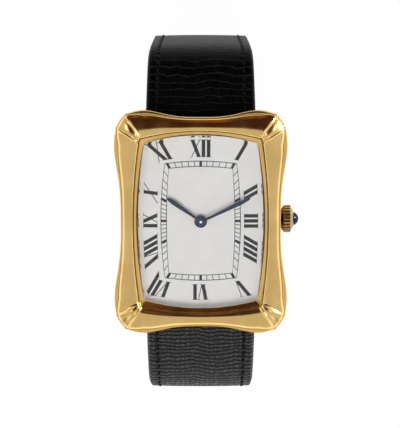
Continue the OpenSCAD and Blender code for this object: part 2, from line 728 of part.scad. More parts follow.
module winding_pinion() color(steel) {
    translate([pinion_x, 0, stem_z]) rotate([0, 90, 0]) toothed(14, 0.14, 0, 1.0, 0.3 + pin_gap);
}

// The strap's run seen from the side: each half leaves its spring bar, falls past the
// wrist and lies flat under it. The tail passes behind the buckle's cross bar, over
// its pin and along the outside of the other half.
function bezier(a, b, c, d, n) = [for (i = [0:n]) let (t = i / n, u = 1 - t)
    u * u * u * a + 3 * u * u * t * b + 3 * u * t * t * c + t * t * t * d];
function after_first(v) = [for (i = [1:len(v) - 1]) v[i]];
tail_z = keeper_t + 0.1 + tail_t / 2;
lining_z = tail_z + tail_t / 2 + 0.15 + lining_t / 2;
widest_z = back_z * 0.66;
flat_12 = 13;
flat_6 = 15;
out_12 = reach_12 - strap_t / 2;
out_6 = reach_6 - strap_t / 2;
pin_z = lining_z;
cross_y = -pin_y - frame_l;
cross_z = cross_r;
// How far below its spring bar each half has turned straight down
bend_drop = 9;
run_12 = concat(
    bezier([bar_y, bar_z], [bar_y + 8, bar_z - 0.3], [out_12, bar_z - 0.8], [out_12, bar_z - bend_drop], 9),
    after_first(bezier([out_12, bar_z - bend_drop], [out_12, widest_z - 14], [flat_12 + 10, lining_z],
        [flat_12, lining_z], 26)),
    [[6, lining_z], [0, lining_z], [-pin_y, pin_z]]);
function slope(v, i) = unit(v[min(i + 1, len(v) - 1)] - v[max(i - 1, 0)]);
// Points moved to the right of the way that the run goes
function beside(v, d) = [for (i = [0:len(v) - 1]) let (k = slope(v, i)) v[i] + d * [k[1], -k[0]]];
lap = (lining_t + tail_t) / 2 + 0.15;
outside_12 = beside(run_12, -lap);
tail_end = 23;
run_6 = concat(
    bezier([-bar_y, bar_z], [-bar_y - 9, bar_z - 0.3], [-out_6, bar_z - 0.8],
        [-out_6, bar_z - bend_drop], 9),
    after_first(bezier([-out_6, bar_z - bend_drop], [-out_6, widest_z - 14],
        [-flat_6 - 11, cross_z * 2 + 0.2 + tail_t / 2],
        [-flat_6, cross_z * 2 + 0.2 + tail_t / 2], 12)),
    [[cross_y, cross_z * 2 + 0.2 + tail_t / 2], [cross_y + 1.6, cross_z * 2 + 0.1 + tail_t / 2],
        [-pin_y - 2, tail_z + 0.25], [-pin_y, tail_z], [0, tail_z], [6, tail_z]],
    [for (i = [len(run_12) - 4:-1:tail_end]) outside_12[i]]);

// Distance along a run to each of its points
function lengths(v, i = 0, sum = 0) = i >= len(v) ? [] :
    concat([sum], lengths(v, i + 1, i < len(v) - 1 ? sum + norm(v[i + 1] - v[i]) : sum));
// The strap's section: flat inside, crowned outside and thin at its stitched edges
function strap_section(w, t) = [[-w / 2, -t / 2], [w / 2, -t / 2], [w / 2, t * 0.12],
    [w / 2 - 0.5, t * 0.3],
    [w / 2 - 1.9, t * 0.36], [w / 4, t * 0.48], [0, t / 2], [-w / 4, t * 0.48], [-w / 2 + 1.9, t * 0.36],
    [-w / 2 + 0.5, t * 0.3], [-w / 2, t * 0.12]];
// Length over which each half tapers from its spring bar
taper_l = 28;
// The tail's share of its width at a distance from its tip
tip_l = 6;
function tip_width(left) = left < tip_l ? 0.35 + 0.65 * sqrt(1 - pow(1 - left / tip_l, 2)) : 1;
// One half of the strap along a run; side is +1 where outside is to the left of the run
module strap_half(run, side, t_end, pointed) {
    at = lengths(run);
    total = at[len(at) - 1];
    lofted([for (i = [0:len(run) - 1]) let (f = at[i] / total, k = slope(run, i), n = side * [-k[1], k[0]],
        w = mix(strap_w, strap_end_w, min(1, at[i] / taper_l)) * (pointed ? tip_width(total - at[i]) : 1),
        t = mix(strap_t, t_end, min(1, f * 1.6)))
        [for (p = strap_section(w, t)) [p[0] * side, run[i][0] + n[0] * p[1], run[i][1] + n[1] * p[1]]]]);
}

module strap_twelve() color(leather) {
    difference() {
        union() {
            strap_half(run_12, 1, lining_t, false);
            rod(bar_y, bar_z, strap_t / 2 - 0.06, strap_w - 0.1);
            rod(-pin_y, pin_z, lining_t / 2 - 0.06, strap_end_w - 0.1);
        }
        rod(bar_y, bar_z, spring_bar_r + pin_gap, strap_w + 2);
        rod(-pin_y, pin_z, pin_r + pin_gap, strap_end_w + 2);
        translate([-tang_w / 2 - 0.2, -pin_y - 3, pin_z - 3]) cube([tang_w + 0.4, 4.3, 6]);
    }
}

first_hole_y = -pin_y - tang_drop;
module strap_six() color(leather) {
    difference() {
        union() {
            strap_half(run_6, -1, tail_t, true);
            rod(-bar_y, bar_z, strap_t / 2 - 0.06, strap_w - 0.1);
        }
        rod(-bar_y, bar_z, spring_bar_r + pin_gap, strap_w + 2);
        translate([-tang_w / 2 - 0.25, first_hole_y - 0.15, 0]) cube([tang_w + 0.5, tang_drop + 0.3, 5]);
        for (i = [1:holes - 1]) translate([0, first_hole_y + i * hole_pitch, 0])
            cylinder(r = hole_r, h = 5);
    }
}

module spring_bars() color(steel) {
    for (s = [-1, 1]) {
        rod(s * bar_y, bar_z, spring_bar_r, strap_w + 0.1);
        rod(s * bar_y, bar_z, bar_tip_r, 2 * lug_inner_x + 1.8);
    }
}

// The buckle: two arms carry a cross bar with a groove for the tang's tip
arm_x = strap_end_w / 2 + 0.3;
arm_t = 1.3;
module buckle_frame() color(gold) {
    difference() {
        union() {
            rod(cross_y, cross_z, cross_r, 2 * (arm_x + arm_t));
            for (s = [-1, 1]) translate([s > 0 ? arm_x : -arm_x - arm_t, 0, 0]) rotate([90, 0, 90])
                linear_extrude(arm_t) {
                    translate([-pin_y, pin_z]) circle(r = 1.25);
                    translate([cross_y, cross_z]) circle(r = cross_r);
                    polygon([[-pin_y, pin_z - 1.25], [-pin_y, pin_z + 1.25],
                        [cross_y - 0.1, cross_z + cross_r],
                        [cross_y, 0]]);
                }
        }
        rod(-pin_y, pin_z, pin_r + pin_gap, 30);
        translate([-tang_w / 2 - 0.15, cross_y - 2, -eps]) cube([tang_w + 0.3, 4, tang_t + 0.15]);
    }
}
tang_t = 0.65;
module buckle_pin() color(steel) {
    rod(-pin_y, pin_z, pin_r, 2 * (arm_x + arm_t) - 0.1);
}
module tang() color(gold) {
    difference() {
        translate([-tang_w / 2, 0, 0]) rotate([90, 0, 90]) linear_extrude(tang_w) {
            translate([-pin_y, pin_z]) circle(r = 1.15);
            polygon([[-pin_y - 0.7, pin_z - 0.8], [-pin_y - 1.1, pin_z + 0.2], [-pin_y - 2.6, tang_t + 0.7],
                [-pin_y - 3.6, tang_t + 0.02], [cross_y - 0.9, tang_t + 0.02], [cross_y - 0.9, 0.2],
                [cross_y - 0.4, 0.02], [-pin_y - 3.0, 0.02], [-pin_y - 1.5, 0.8]]);
        }
        rod(-pin_y, pin_z, pin_r + pin_gap, 30);
    }
}

// A keeper: a flat leather band round both layers
module keeper(y, inner_w, wall) {
    top_z = lining_z + lining_t / 2 + 0.15;
    translate([0, y + keeper_w / 2, 0]) rotate([90, 0, 0]) linear_extrude(keeper_w) difference() {
        translate([-inner_w / 2 - wall, 0]) rounded_rect(inner_w + 2 * wall, top_z + wall, 0.7);
        translate([-inner_w / 2, wall]) square([inner_w, top_z - wall]);
    }
}
module rounded_rect(w, h, r) {
    translate([r, 0]) square([w - 2 * r, h]);
    translate([0, r]) square([w, h - 2 * r]);
    for (x = [r, w - r], y = [r, h - r]) translate([x, y]) circle(r = r, $fn = 32);
}
module fixed_keeper() color(leather) keeper(0, strap_end_w + 0.4, keeper_t);
module sliding_keeper() color(leather) keeper(keeper_y, strap_end_w + 0.4, keeper_t);

case_middle();
bezel();
case_back();
back_gasket();
back_screws();
crystal();
crystal_gasket();
dial();
crown();
crown_stone();
crown_tube();
winding_stem();
winding_pinion();
minute_hand();
hour_hand();
cannon_pinion();
hour_wheel();
minute_wheel();
movement_ring();
main_plate();
barrel_bridge();
train_bridge();
balance_cock();
mainspring_barrel();
centre_wheel();
third_wheel();
fourth_wheel();
escape_wheel();
pallet_fork();
balance_wheel();
hairspring();
strap_twelve();
strap_six();
spring_bars();
buckle_frame();
buckle_pin();
tang();
fixed_keeper();
sliding_keeper();
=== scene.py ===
import math

import bmesh
import bpy
import numpy as np
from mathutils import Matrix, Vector


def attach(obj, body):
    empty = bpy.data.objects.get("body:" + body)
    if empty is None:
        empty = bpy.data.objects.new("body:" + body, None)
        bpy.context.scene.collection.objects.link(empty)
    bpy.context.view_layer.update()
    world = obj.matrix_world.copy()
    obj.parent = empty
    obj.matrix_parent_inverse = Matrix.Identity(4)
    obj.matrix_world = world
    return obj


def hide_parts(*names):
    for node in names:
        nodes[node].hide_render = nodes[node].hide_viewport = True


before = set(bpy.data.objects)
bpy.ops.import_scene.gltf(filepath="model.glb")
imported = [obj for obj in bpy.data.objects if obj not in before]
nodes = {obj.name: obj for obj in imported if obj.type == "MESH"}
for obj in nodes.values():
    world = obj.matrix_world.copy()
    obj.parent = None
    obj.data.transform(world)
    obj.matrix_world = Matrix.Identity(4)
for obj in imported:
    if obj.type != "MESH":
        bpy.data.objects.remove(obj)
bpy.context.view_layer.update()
scene = bpy.context.scene

MM = 0.001

# The solids' sizes in millimetres. In the plan, W is half a width across the case, X, and H half a
# height along it, Y. The bars' and the rim's heights count from the seat, the ridge's from its bar.
SEAT = 50.9
DIAL_TOP = 50.45
STEM_Z = 48.66                                  # the crown's axis
WAIST_W, LOBE_W, LOBE_Y = 13.0, 14.05, 12.6     # a side bar at its waist and lobe, and the lobe's place
WAIST_H, LOBE_H, LOBE_X = 17.3, 18.4, 9.2       # an end bar's
CUT_Y, CUT_X, CUT_BULGE = 15.5, 12.2, 0.15      # where a cut corner meets the bars, and its bulge
OPEN_W, OPEN_H = 10.16, 14.25
OPEN_SIDE_R, OPEN_END_R = 85.0, 34.0            # radii of the opening's bowed sides and ends
OPEN_CUT_X, OPEN_CUT_Y = 9.0, 12.6              # where its cut corners start
BAR_H, BAR_END_H, FACET_H = 1.9, 2.25, 2.45     # crest at a waist, beside a corner and on its facet
RIDGE_H, RIDGE_W, RIM_H = 0.25, 0.17, 1.1
RIM_W, RIM_LOBE_W, RIM_CUT_W = 0.3, 0.8, 0.15   # the rim at a waist, a lobe and a cut corner
RIM_EASE = 2.5                                  # how far from a corner its width has settled
LIP_W = 0.7
LEDGE = SEAT + 0.65                             # the lip's underside
RING_FOOT, RING_OUT = SEAT - 1.6, 0.45          # the bezel's foot, and its wall out from the opening


# Meshes

def grid_faces(rows, cols, ring_rows=False, ring_cols=False):
    """Corner numbers of a grid's quads, row by row; a ring joins its last line to its first."""
    i = np.arange(rows if ring_rows else rows - 1)[:, None]
    j = np.arange(cols if ring_cols else cols - 1)[None, :]
    i2, j2 = (i + 1) % rows, (j + 1) % cols
    quads = np.stack([i * cols + j, i2 * cols + j, i2 * cols + j2, i * cols + j2], -1)
    return quads.reshape(-1, 4)


def turned_out(points, faces):
    """The same quads, turned round if the volume they enclose comes out negative."""
    a, b, c, d = (points[faces[:, k]] for k in range(4))
    volume = np.sum(a * np.cross(b, c)) + np.sum(a * np.cross(c, d))
    if volume > 0:
        return faces
    three = faces[:, 2] == faces[:, 3]
    return np.where(three[:, None], faces[:, [2, 1, 0, 0]], faces[:, ::-1])


def capped_stack(rings):
    """Points and quads of a closed solid through stacked rings (rows, cols, 3). Each end is closed by a
    fan onto the ring's middle, written as quads that repeat one corner."""
    rows, cols = rings.shape[:2]
    points = np.concatenate([rings.reshape(-1, 3), rings[0].mean(0)[None], rings[-1].mean(0)[None]])
    j = np.arange(cols)
    j2 = (j + 1) % cols
    top = (rows - 1) * cols
    first = np.stack([np.full(cols, rows * cols), j, j2, j2], -1)
    last = np.stack([np.full(cols, rows * cols + 1), top + j2, top + j, top + j], -1)
    return points, np.concatenate([grid_faces(rows, cols, ring_cols=True), first, last])


def merge_points(mesh, flat_angle=None):
    """Merges a mesh's doubled points and, where flat_angle is given, its faces flatter than that."""
    work = bmesh.new()
    work.from_mesh(mesh)
    bmesh.ops.remove_doubles(work, verts=work.verts, dist=2e-6)
    if flat_angle:
        bmesh.ops.dissolve_limit(work, angle_limit=math.radians(flat_angle),
                                 verts=work.verts, edges=work.edges)
    work.to_mesh(mesh)
    work.free()


def dress(name, mesh, finish, body, replaced, crease):
    """Makes a mesh a piece with a finish, smooth but for edges sharper than crease degrees."""
    mesh.shade_smooth()
    mesh.set_sharp_from_angle(angle=math.radians(crease))
    mesh.materials.append(finish)
    piece = bpy.data.objects.new(name, mesh)
    scene.collection.objects.link(piece)
    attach(piece, body)
    if replaced:
        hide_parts(replaced)
    return piece


def put(name, points, faces, finish, body, replaced=None, uv=None, crease=32.0, merge=False):
    """A piece from points in millimetres and quads; a quad that repeats a corner is a triangle."""
    mesh = bpy.data.meshes.new(name)
    corners = [f[:3] if f[2] == f[3] else f for f in faces.tolist()]
    mesh.from_pydata((points * MM).tolist(), [], corners)
    if uv is not None:
        layer = mesh.uv_layers.new(name="run")
        index = np.empty(len(mesh.loops), dtype=np.int32)
        mesh.loops.foreach_get("vertex_index", index)
        layer.data.foreach_set("uv", uv[index].astype(np.float32).ravel())
    if merge:
        merge_points(mesh)
    return dress(name, mesh, finish, body, replaced, crease)


def softened(name, replaced, finish, body, bevel, crease=30.0):
    """A merged copy of a metal solid, with a fine rounding (mm) along its edges to catch the light."""
    mesh = nodes[replaced].data.copy()
    mesh.name = name
    merge_points(mesh, 0.6)
    mesh.materials.clear()
    piece = dress(name, mesh, finish, body, replaced, crease)
    edge = piece.modifiers.new("edge", "BEVEL")
    edge.width = bevel * MM
    edge.segments = 2
    edge.limit_method = "ANGLE"
    edge.angle_limit = math.radians(crease)
    edge.harden_normals = True


# Nodes

def feed(tree, socket, value):
    """Links an input to value if that is another node's output, and otherwise sets it."""
    if isinstance(value, bpy.types.NodeSocket):
        tree.links.new(value, socket)
    else:
        socket.default_value = value


def node(tree, kind, *fed, **named):
    """A new node. What is fed goes to its inputs in turn. A keyword with a capital names an input,
    with _ for a space, and any other names a setting; an input given as None is left alone."""
    made = tree.nodes.new(kind)
    for key, value in named.items():
        if key[0].islower():
            setattr(made, key, value)
    for k, value in enumerate(fed):
        feed(tree, made.inputs[k], value)
    for key, value in named.items():
        if key[0].isupper() and value is not None:
            feed(tree, made.inputs[key.replace("_", " ")], value)
    return made


def math_node(tree, operation, *values):
    return node(tree, "ShaderNodeMath", *values, operation=operation).outputs[0]


def product(tree, first, *others):
    for other in others:
        first = math_node(tree, "MULTIPLY", first, other)
    return first


def vector_node(tree, operation, *values):
    made = node(tree, "ShaderNodeVectorMath", *values, operation=operation)
    return made.outputs["Value" if operation in ("LENGTH", "DOT_PRODUCT") else "Vector"]


def map_range(tree, value, low, high, to_low, to_high, smooth=True):
    """Carries low to to_low and high to to_high, and stops there."""
    return node(tree, "ShaderNodeMapRange", value, low, high, to_low, to_high,
                interpolation_type="SMOOTHSTEP" if smooth else "LINEAR").outputs["Result"]


def noise(tree, vector, **values):
    return node(tree, "ShaderNodeTexNoise", Vector=vector, **values).outputs[0]


def mixed(tree, share, first, second):
    """A colour from first to second, each three numbers or a socket."""
    made = node(tree, "ShaderNodeMix", share, data_type="RGBA")
    for k, colour in ((6, first), (7, second)):
        feed(tree, made.inputs[k], (*colour, 1) if isinstance(colour, tuple) else colour)
    return made.outputs[2]


def bump(tree, shader, height, distance, under=None):
    """Relief on a shader, distance metres high, over the relief under it. Returns its normal."""
    normal = node(tree, "ShaderNodeBump", Strength=1.0, Distance=distance, Height=height,
                  Normal=under).outputs[0]
    tree.links.new(normal, shader.inputs["Normal"])
    return normal


def blend_shaders(tree, share, first, second):
    """Ends a material in two shaders, with the given share of the second."""
    both = node(tree, "ShaderNodeMixShader", share, first.outputs[0], second.outputs[0])
    tree.links.new(both.outputs[0], tree.nodes["Material Output"].inputs["Surface"])


# Node groups

def new_group(name, inputs, outputs):
    """A node group, the outputs of its start and the inputs of its end. An input whose default is None
    is a vector, every other is a number."""
    group = bpy.data.node_groups.new(name, "ShaderNodeTree")
    for label, default in inputs.items():
        kind = "NodeSocketVector" if default is None else "NodeSocketFloat"
        socket = group.interface.new_socket(label, in_out="INPUT", socket_type=kind)
        if default is not None:
            socket.default_value = default
    for label in outputs:
        group.interface.new_socket(label, in_out="OUTPUT", socket_type="NodeSocketFloat")
    return group, node(group, "NodeGroupInput").outputs, node(group, "NodeGroupOutput").inputs


def make_scale_rows():
    """Lizard grain: wavy rows across the strap, each parted into small scales by shallower grooves.
    Vector is in metres: X across the strap and Y along it; Across and Along are a scale's sizes, Cross
    is how deep the grooves along the strap are and Slope how much of a scale its sloping sides take."""
    group, start, end = new_group("scale_rows", {"Vector": None, "Across": 0.0008, "Along": 0.00105,
                                                 "Cross": 1.0, "Slope": 0.13}, ("Height", "Tint"))
    x, y, _ = node(group, "ShaderNodeSeparateXYZ", start["Vector"]).outputs
    for scale, size in ((120.0, 0.0011), (420.0, 0.0005), (1300.0, 0.00028)):
        wave = noise(group, start["Vector"], noise_dimensions="2D", Scale=scale, Detail=1.0)
        sway = product(group, math_node(group, "SUBTRACT", wave, 0.5), size)
        y = math_node(group, "ADD", y, sway)
    along = math_node(group, "DIVIDE", y, start["Along"])
    row = map_range(group, math_node(group, "PINGPONG", along, 0.5), 0.0, start["Slope"], 0.0, 1.0)
    across = math_node(group, "DIVIDE", x, start["Across"])
    mid_row = math_node(group, "ADD", math_node(group, "FLOOR", along), 0.5)
    cell = node(group, "ShaderNodeCombineXYZ", across, mid_row).outputs[0]
    edge, tone = (node(group, "ShaderNodeTexVoronoi", voronoi_dimensions="2D", feature=feature,
                       Vector=cell, Scale=1.0, Randomness=0.6).outputs
                  for feature in ("DISTANCE_TO_EDGE", "F1"))
    side = map_range(group, edge["Distance"], 0.0, start["Slope"], 0.4, 0.0)
    flat = math_node(group, "SUBTRACT", 1.0, product(group, start["Cross"], side))
    feed(group, end["Height"], product(group, row, flat))
    feed(group, end["Tint"], node(group, "ShaderNodeSeparateXYZ", tone["Color"]).outputs[0])
    return group


def make_fine_wear():
    """Handling marks on metal: soft clouds and long hair scratches."""
    group, start, end = new_group("fine_wear", {"Vector": None, "Clouds": 240.0, "Hairs": 1500.0},
                                  ("Mask", "Height"))
    cloud = noise(group, start["Vector"], Scale=start["Clouds"], Detail=4.0, Roughness=0.6)
    turned = node(group, "ShaderNodeMapping", Vector=start["Vector"], Rotation=(0.2, 0.1, 0.6),
                  Scale=(1.0, 0.06, 1.0)).outputs[0]
    hair = noise(group, turned, Scale=start["Hairs"], Detail=2.0, Roughness=0.5)
    feed(group, end["Mask"], map_range(group, cloud, 0.35, 0.7, 0.0, 1.0))
    feed(group, end["Height"], map_range(group, hair, 0.45, 0.75, 0.0, 1.0))
    return group


def make_turned_lines():
    """Fine circular lines of a turned or snailed face. Vector is in metres from the centre."""
    group, start, end = new_group("turned_lines", {"Vector": None, "Pitch": 0.00012}, ("Height",))
    radius = vector_node(group, "LENGTH", vector_node(group, "MULTIPLY", start["Vector"], (1, 1, 0)))
    turns = product(group, math_node(group, "DIVIDE", radius, start["Pitch"]), 2 * math.pi)
    wave = product(group, math_node(group, "SINE", turns), 0.5)
    feed(group, end["Height"], math_node(group, "ADD", wave, 0.5))
    return group


SCALE_ROWS = make_scale_rows()
FINE_WEAR = make_fine_wear()
TURNED_LINES = make_turned_lines()


# Materials

LOOP_MIDDLE = 25.0    # height of the middle of the strap's loop, which tells its outer face


def material(name, **settings):
    """A new material, its nodes, its shader with the named sockets set, and its coordinates."""
    made = bpy.data.materials.new(name)
    made.use_nodes = True
    tree = made.node_tree
    shader = tree.nodes["Principled BSDF"]
    for key, value in settings.items():
        shader.inputs[key.replace("_", " ")].default_value = value
    return made, tree, shader, node(tree, "ShaderNodeTexCoord").outputs


def placed(tree, group, **values):
    """A node group in a material, with its own values. Returns its outputs."""
    return node(tree, "ShaderNodeGroup", node_tree=group, **values).outputs


def metal(name, dark, light, rough, worn_rough, hairs=1500.0, scratch=0.0000012, lines=None):
    """Metal whose colour and roughness drift with handling. hairs is how fine its scratches are and
    scratch how deep, in metres; lines adds turned lines of that pitch."""
    made, tree, shader, coord = material(name, Metallic=1.0)
    wear = placed(tree, FINE_WEAR, Vector=coord["Object"], Hairs=hairs)
    feed(tree, shader.inputs["Base Color"], mixed(tree, wear["Mask"], dark, light))
    feed(tree, shader.inputs["Roughness"],
         map_range(tree, wear["Mask"], 0.0, 1.0, rough, worn_rough, False))
    under = bump(tree, shader, wear["Height"], scratch)
    if lines:
        turned = placed(tree, TURNED_LINES, Vector=coord["Object"], Pitch=lines)
        bump(tree, shader, turned["Height"], 0.000004, under)
    return made


def axis_distance(tree, coord, keep, shift=(0, 0, 0)):
    """How far each point lies from an axis: the directions across it are kept, the one along isn't."""
    moved = node(tree, "ShaderNodeMapping", Vector=coord["Object"], Location=shift).outputs[0]
    return vector_node(tree, "LENGTH", vector_node(tree, "MULTIPLY", moved, keep))


def two_tone_metal(name, rough, find_share, least, dark, light, scratch):
    """Metal that is light by the share that find_share works out, down to least of it where the
    wear's clouds lie."""
    made, tree, shader, coord = material(name, Metallic=1.0, Roughness=rough)
    wear = placed(tree, FINE_WEAR, Vector=coord["Object"], Clouds=900.0, Hairs=2500.0)
    share = product(tree, find_share(tree, coord), map_range(tree, wear["Mask"], 0.0, 1.0, least, 1.0))
    feed(tree, shader.inputs["Base Color"], mixed(tree, share, dark, light))
    bump(tree, shader, wear["Height"], scratch)
    return made


def tip_highlight_share(tree, coord):
    """The pale middle of the hands' pinion, a painted highlight that makes the bright dot in their hub.
    """
    return map_range(tree, axis_distance(tree, coord, (1, 1, 0)), 0.0001, 0.00028, 1.0, 0.0)


def flute_shade_share(tree, coord):
    """The crown is light on its ribs and its outer end, with painted shade deeper in its flutes."""
    ribs = map_range(tree, axis_distance(tree, coord, (0, 1, 1), (0, 0, -STEM_Z * MM)),
                     0.00203, 0.00222, 0.0, 1.0)
    x = node(tree, "ShaderNodeSeparateXYZ", coord["Object"]).outputs[0]
    return math_node(tree, "MAXIMUM", ribs, map_range(tree, x, 0.0145, 0.0147, 0.0, 0.8))


def leather(name, size, cross, slope, shine, rough, depth, groove, top):
    """Black lizard leather with scales of the given size across and along. cross is how deep their
    side grooves are, slope how much of them slopes and depth how high they stand, in metres. rough is
    the roughness in the grooves and on the tops, groove and top are the greys there, and shine is the
    specular level. The inner face is plain."""
    made, tree, shader, coord = material(name, Specular_IOR_Level=shine)
    run = node(tree, "ShaderNodeUVMap", uv_map="run").outputs[0]
    rows = placed(tree, SCALE_ROWS, Vector=run, Across=size[0], Along=size[1], Cross=cross,
                  Slope=slope)
    from_middle = vector_node(tree, "SUBTRACT", coord["Object"], (0, 0, LOOP_MIDDLE * MM))
    outward = vector_node(tree, "DOT_PRODUCT", from_middle, coord["Normal"])
    height = product(tree, rows["Height"], map_range(tree, outward, -0.003, -0.001, 0.0, 1.0))
    fine = noise(tree, coord["Object"], Scale=2600.0, Detail=3.0, Roughness=0.6)
    share = product(tree, height, map_range(tree, rows["Tint"], 0.0, 1.0, 0.94, 1.0, False))
    feed(tree, shader.inputs["Base Color"],
         mixed(tree, share, (groove, groove, groove * 1.05), (top, top, top * 1.1)))
    feed(tree, shader.inputs["Roughness"], map_range(tree, height, 0.0, 1.0, *rough, False))
    bump(tree, shader, fine, 0.00001, bump(tree, shader, height, depth))
    return made


def plain(name, dark, light, rough, scale, grain, shine=0.5):
    """Paint, rubber or thread: one colour with a faint drift and a fine tooth, grain metres high."""
    made, tree, shader, coord = material(name, Roughness=rough, Specular_IOR_Level=shine)
    tooth = noise(tree, coord["Object"], Scale=scale, Detail=4.0, Roughness=0.55)
    drift = map_range(tree, tooth, 0.3, 0.7, 0.0, 1.0)
    feed(tree, shader.inputs["Base Color"], mixed(tree, drift, dark, light))
    bump(tree, shader, tooth, grain)
    return made


def clear_glass():
    """Crystal glass. Shadow rays pass straight through, so the dial under it stays bright."""
    made, tree, shader, _ = material("crystal_glass", Base_Color=(1, 1, 1, 1), Roughness=0.0, IOR=1.3,
                                     Transmission_Weight=1.0)
    path = node(tree, "ShaderNodeLightPath").outputs
    blend_shaders(tree, path["Is Shadow Ray"], shader, node(tree, "ShaderNodeBsdfTransparent"))
    return made


def blue_cabochon():
    """A polished dark blue stone, paler where it is cloudy."""
    made, tree, shader, coord = material("blue_cabochon", Roughness=0.05, IOR=1.4)
    cloud = map_range(tree, noise(tree, coord["Object"], Scale=900.0, Detail=3.0), 0.35, 0.7, 0.0, 1.0)
    feed(tree, shader.inputs["Base Color"],
         mixed(tree, cloud, (0.003, 0.001, 0.045), (0.010, 0.004, 0.15)))
    return made


GOLD = metal("satin_gold", (0.88, 0.59, 0.215), (0.95, 0.66, 0.26), 0.14, 0.22)
GOLD_BACK = metal("brushed_gold", (0.66, 0.42, 0.15), (0.74, 0.50, 0.20), 0.24, 0.36, hairs=2600.0,
                  scratch=0.000003)
# Gold of the crown, with painted shade deep in its flutes
SHADED_FLUTE_GOLD = two_tone_metal("fluted_gold_painted_shade", 0.3, flute_shade_share, 0.75, (0.10, 0.045, 0.018),
                            (0.80, 0.55, 0.24), 0.000003)
STEEL = metal("polished_steel", (0.50, 0.51, 0.53), (0.62, 0.63, 0.65), 0.18, 0.3)
# Steel of the hands' pinion, with a painted highlight as a pale dot in its middle
PINION_STEEL_PAINTED_DOT = two_tone_metal("steel_painted_tip_highlight", 0.2, tip_highlight_share, 0.85, (0.03, 0.045, 0.07),
                              (0.42, 0.53, 0.62), 0.000001)
BLUED = metal("blued_steel", (0.006, 0.011, 0.026), (0.012, 0.020, 0.042), 0.22, 0.34)
WHEEL = metal("wheel_brass", (0.60, 0.42, 0.16), (0.72, 0.53, 0.24), 0.22, 0.34, lines=0.00011)
PLATE = metal("plated_brass", (0.52, 0.51, 0.47), (0.62, 0.61, 0.57), 0.26, 0.38, lines=0.00022)
# The same black lizard leather in two copies. This lit copy, for the lower half and the keepers, has its
# scale tops painted grey as painted light
LIT_LEATHER = leather("lizard_leather_painted_light", size=(0.0008, 0.0006), cross=1.6, slope=0.4, shine=0.5,
                  rough=(0.7, 0.3), depth=0.00035, groove=0.002, top=0.066)
# The shaded copy, for the upper half: painted shade makes its tops near black, and its grooves are
# painted paler as painted highlight lines
SHADED_LONG_ROW_LEATHER = leather("lizard_leather_long_rows_painted_shade", size=(0.0008, 0.00105), cross=0.15, slope=0.12,
                           shine=0.04, rough=(0.6, 0.4), depth=0.0003, groove=0.03, top=0.0008)
THREAD = plain("black_thread", (0.002, 0.002, 0.002), (0.005, 0.005, 0.005), 0.6, 6000.0, 0.00001, 0.2)
DIAL = plain("dial_lacquer", (0.76, 0.76, 0.755), (0.79, 0.79, 0.785), 0.42, 500.0, 0.000002)
INK = plain("dial_ink", (0.008, 0.008, 0.009), (0.014, 0.014, 0.015), 0.5, 3000.0, 0.000003, 0.1)
RUBBER = plain("black_rubber", (0.012, 0.012, 0.012), (0.022, 0.022, 0.022), 0.6, 1500.0, 0.00001)
GASKET = plain("white_gasket", (0.72, 0.72, 0.70), (0.80, 0.80, 0.78), 0.5, 1500.0, 0.00001)
GLASS = clear_glass()
STONE = blue_cabochon()


# The case's plan

SIDE_N, CUT_N, END_N = 96, 44, 84    # stations on half a side bar, a cut corner and half an end bar


def swollen(waist, lobe, u):
    """A bamboo bar's swelling: from its waist, at 0, half a cosine wave of u to the 1.6 takes it to its
    lobe, at 1."""
    return waist + (lobe - waist) * ((1 - np.cos(np.pi * np.abs(u) ** 1.6)) / 2)


def bowed(half, r, along):
    """An arc of radius r that lies half from the middle and falls back on both sides."""
    return half - r + np.sqrt(r ** 2 - along ** 2)


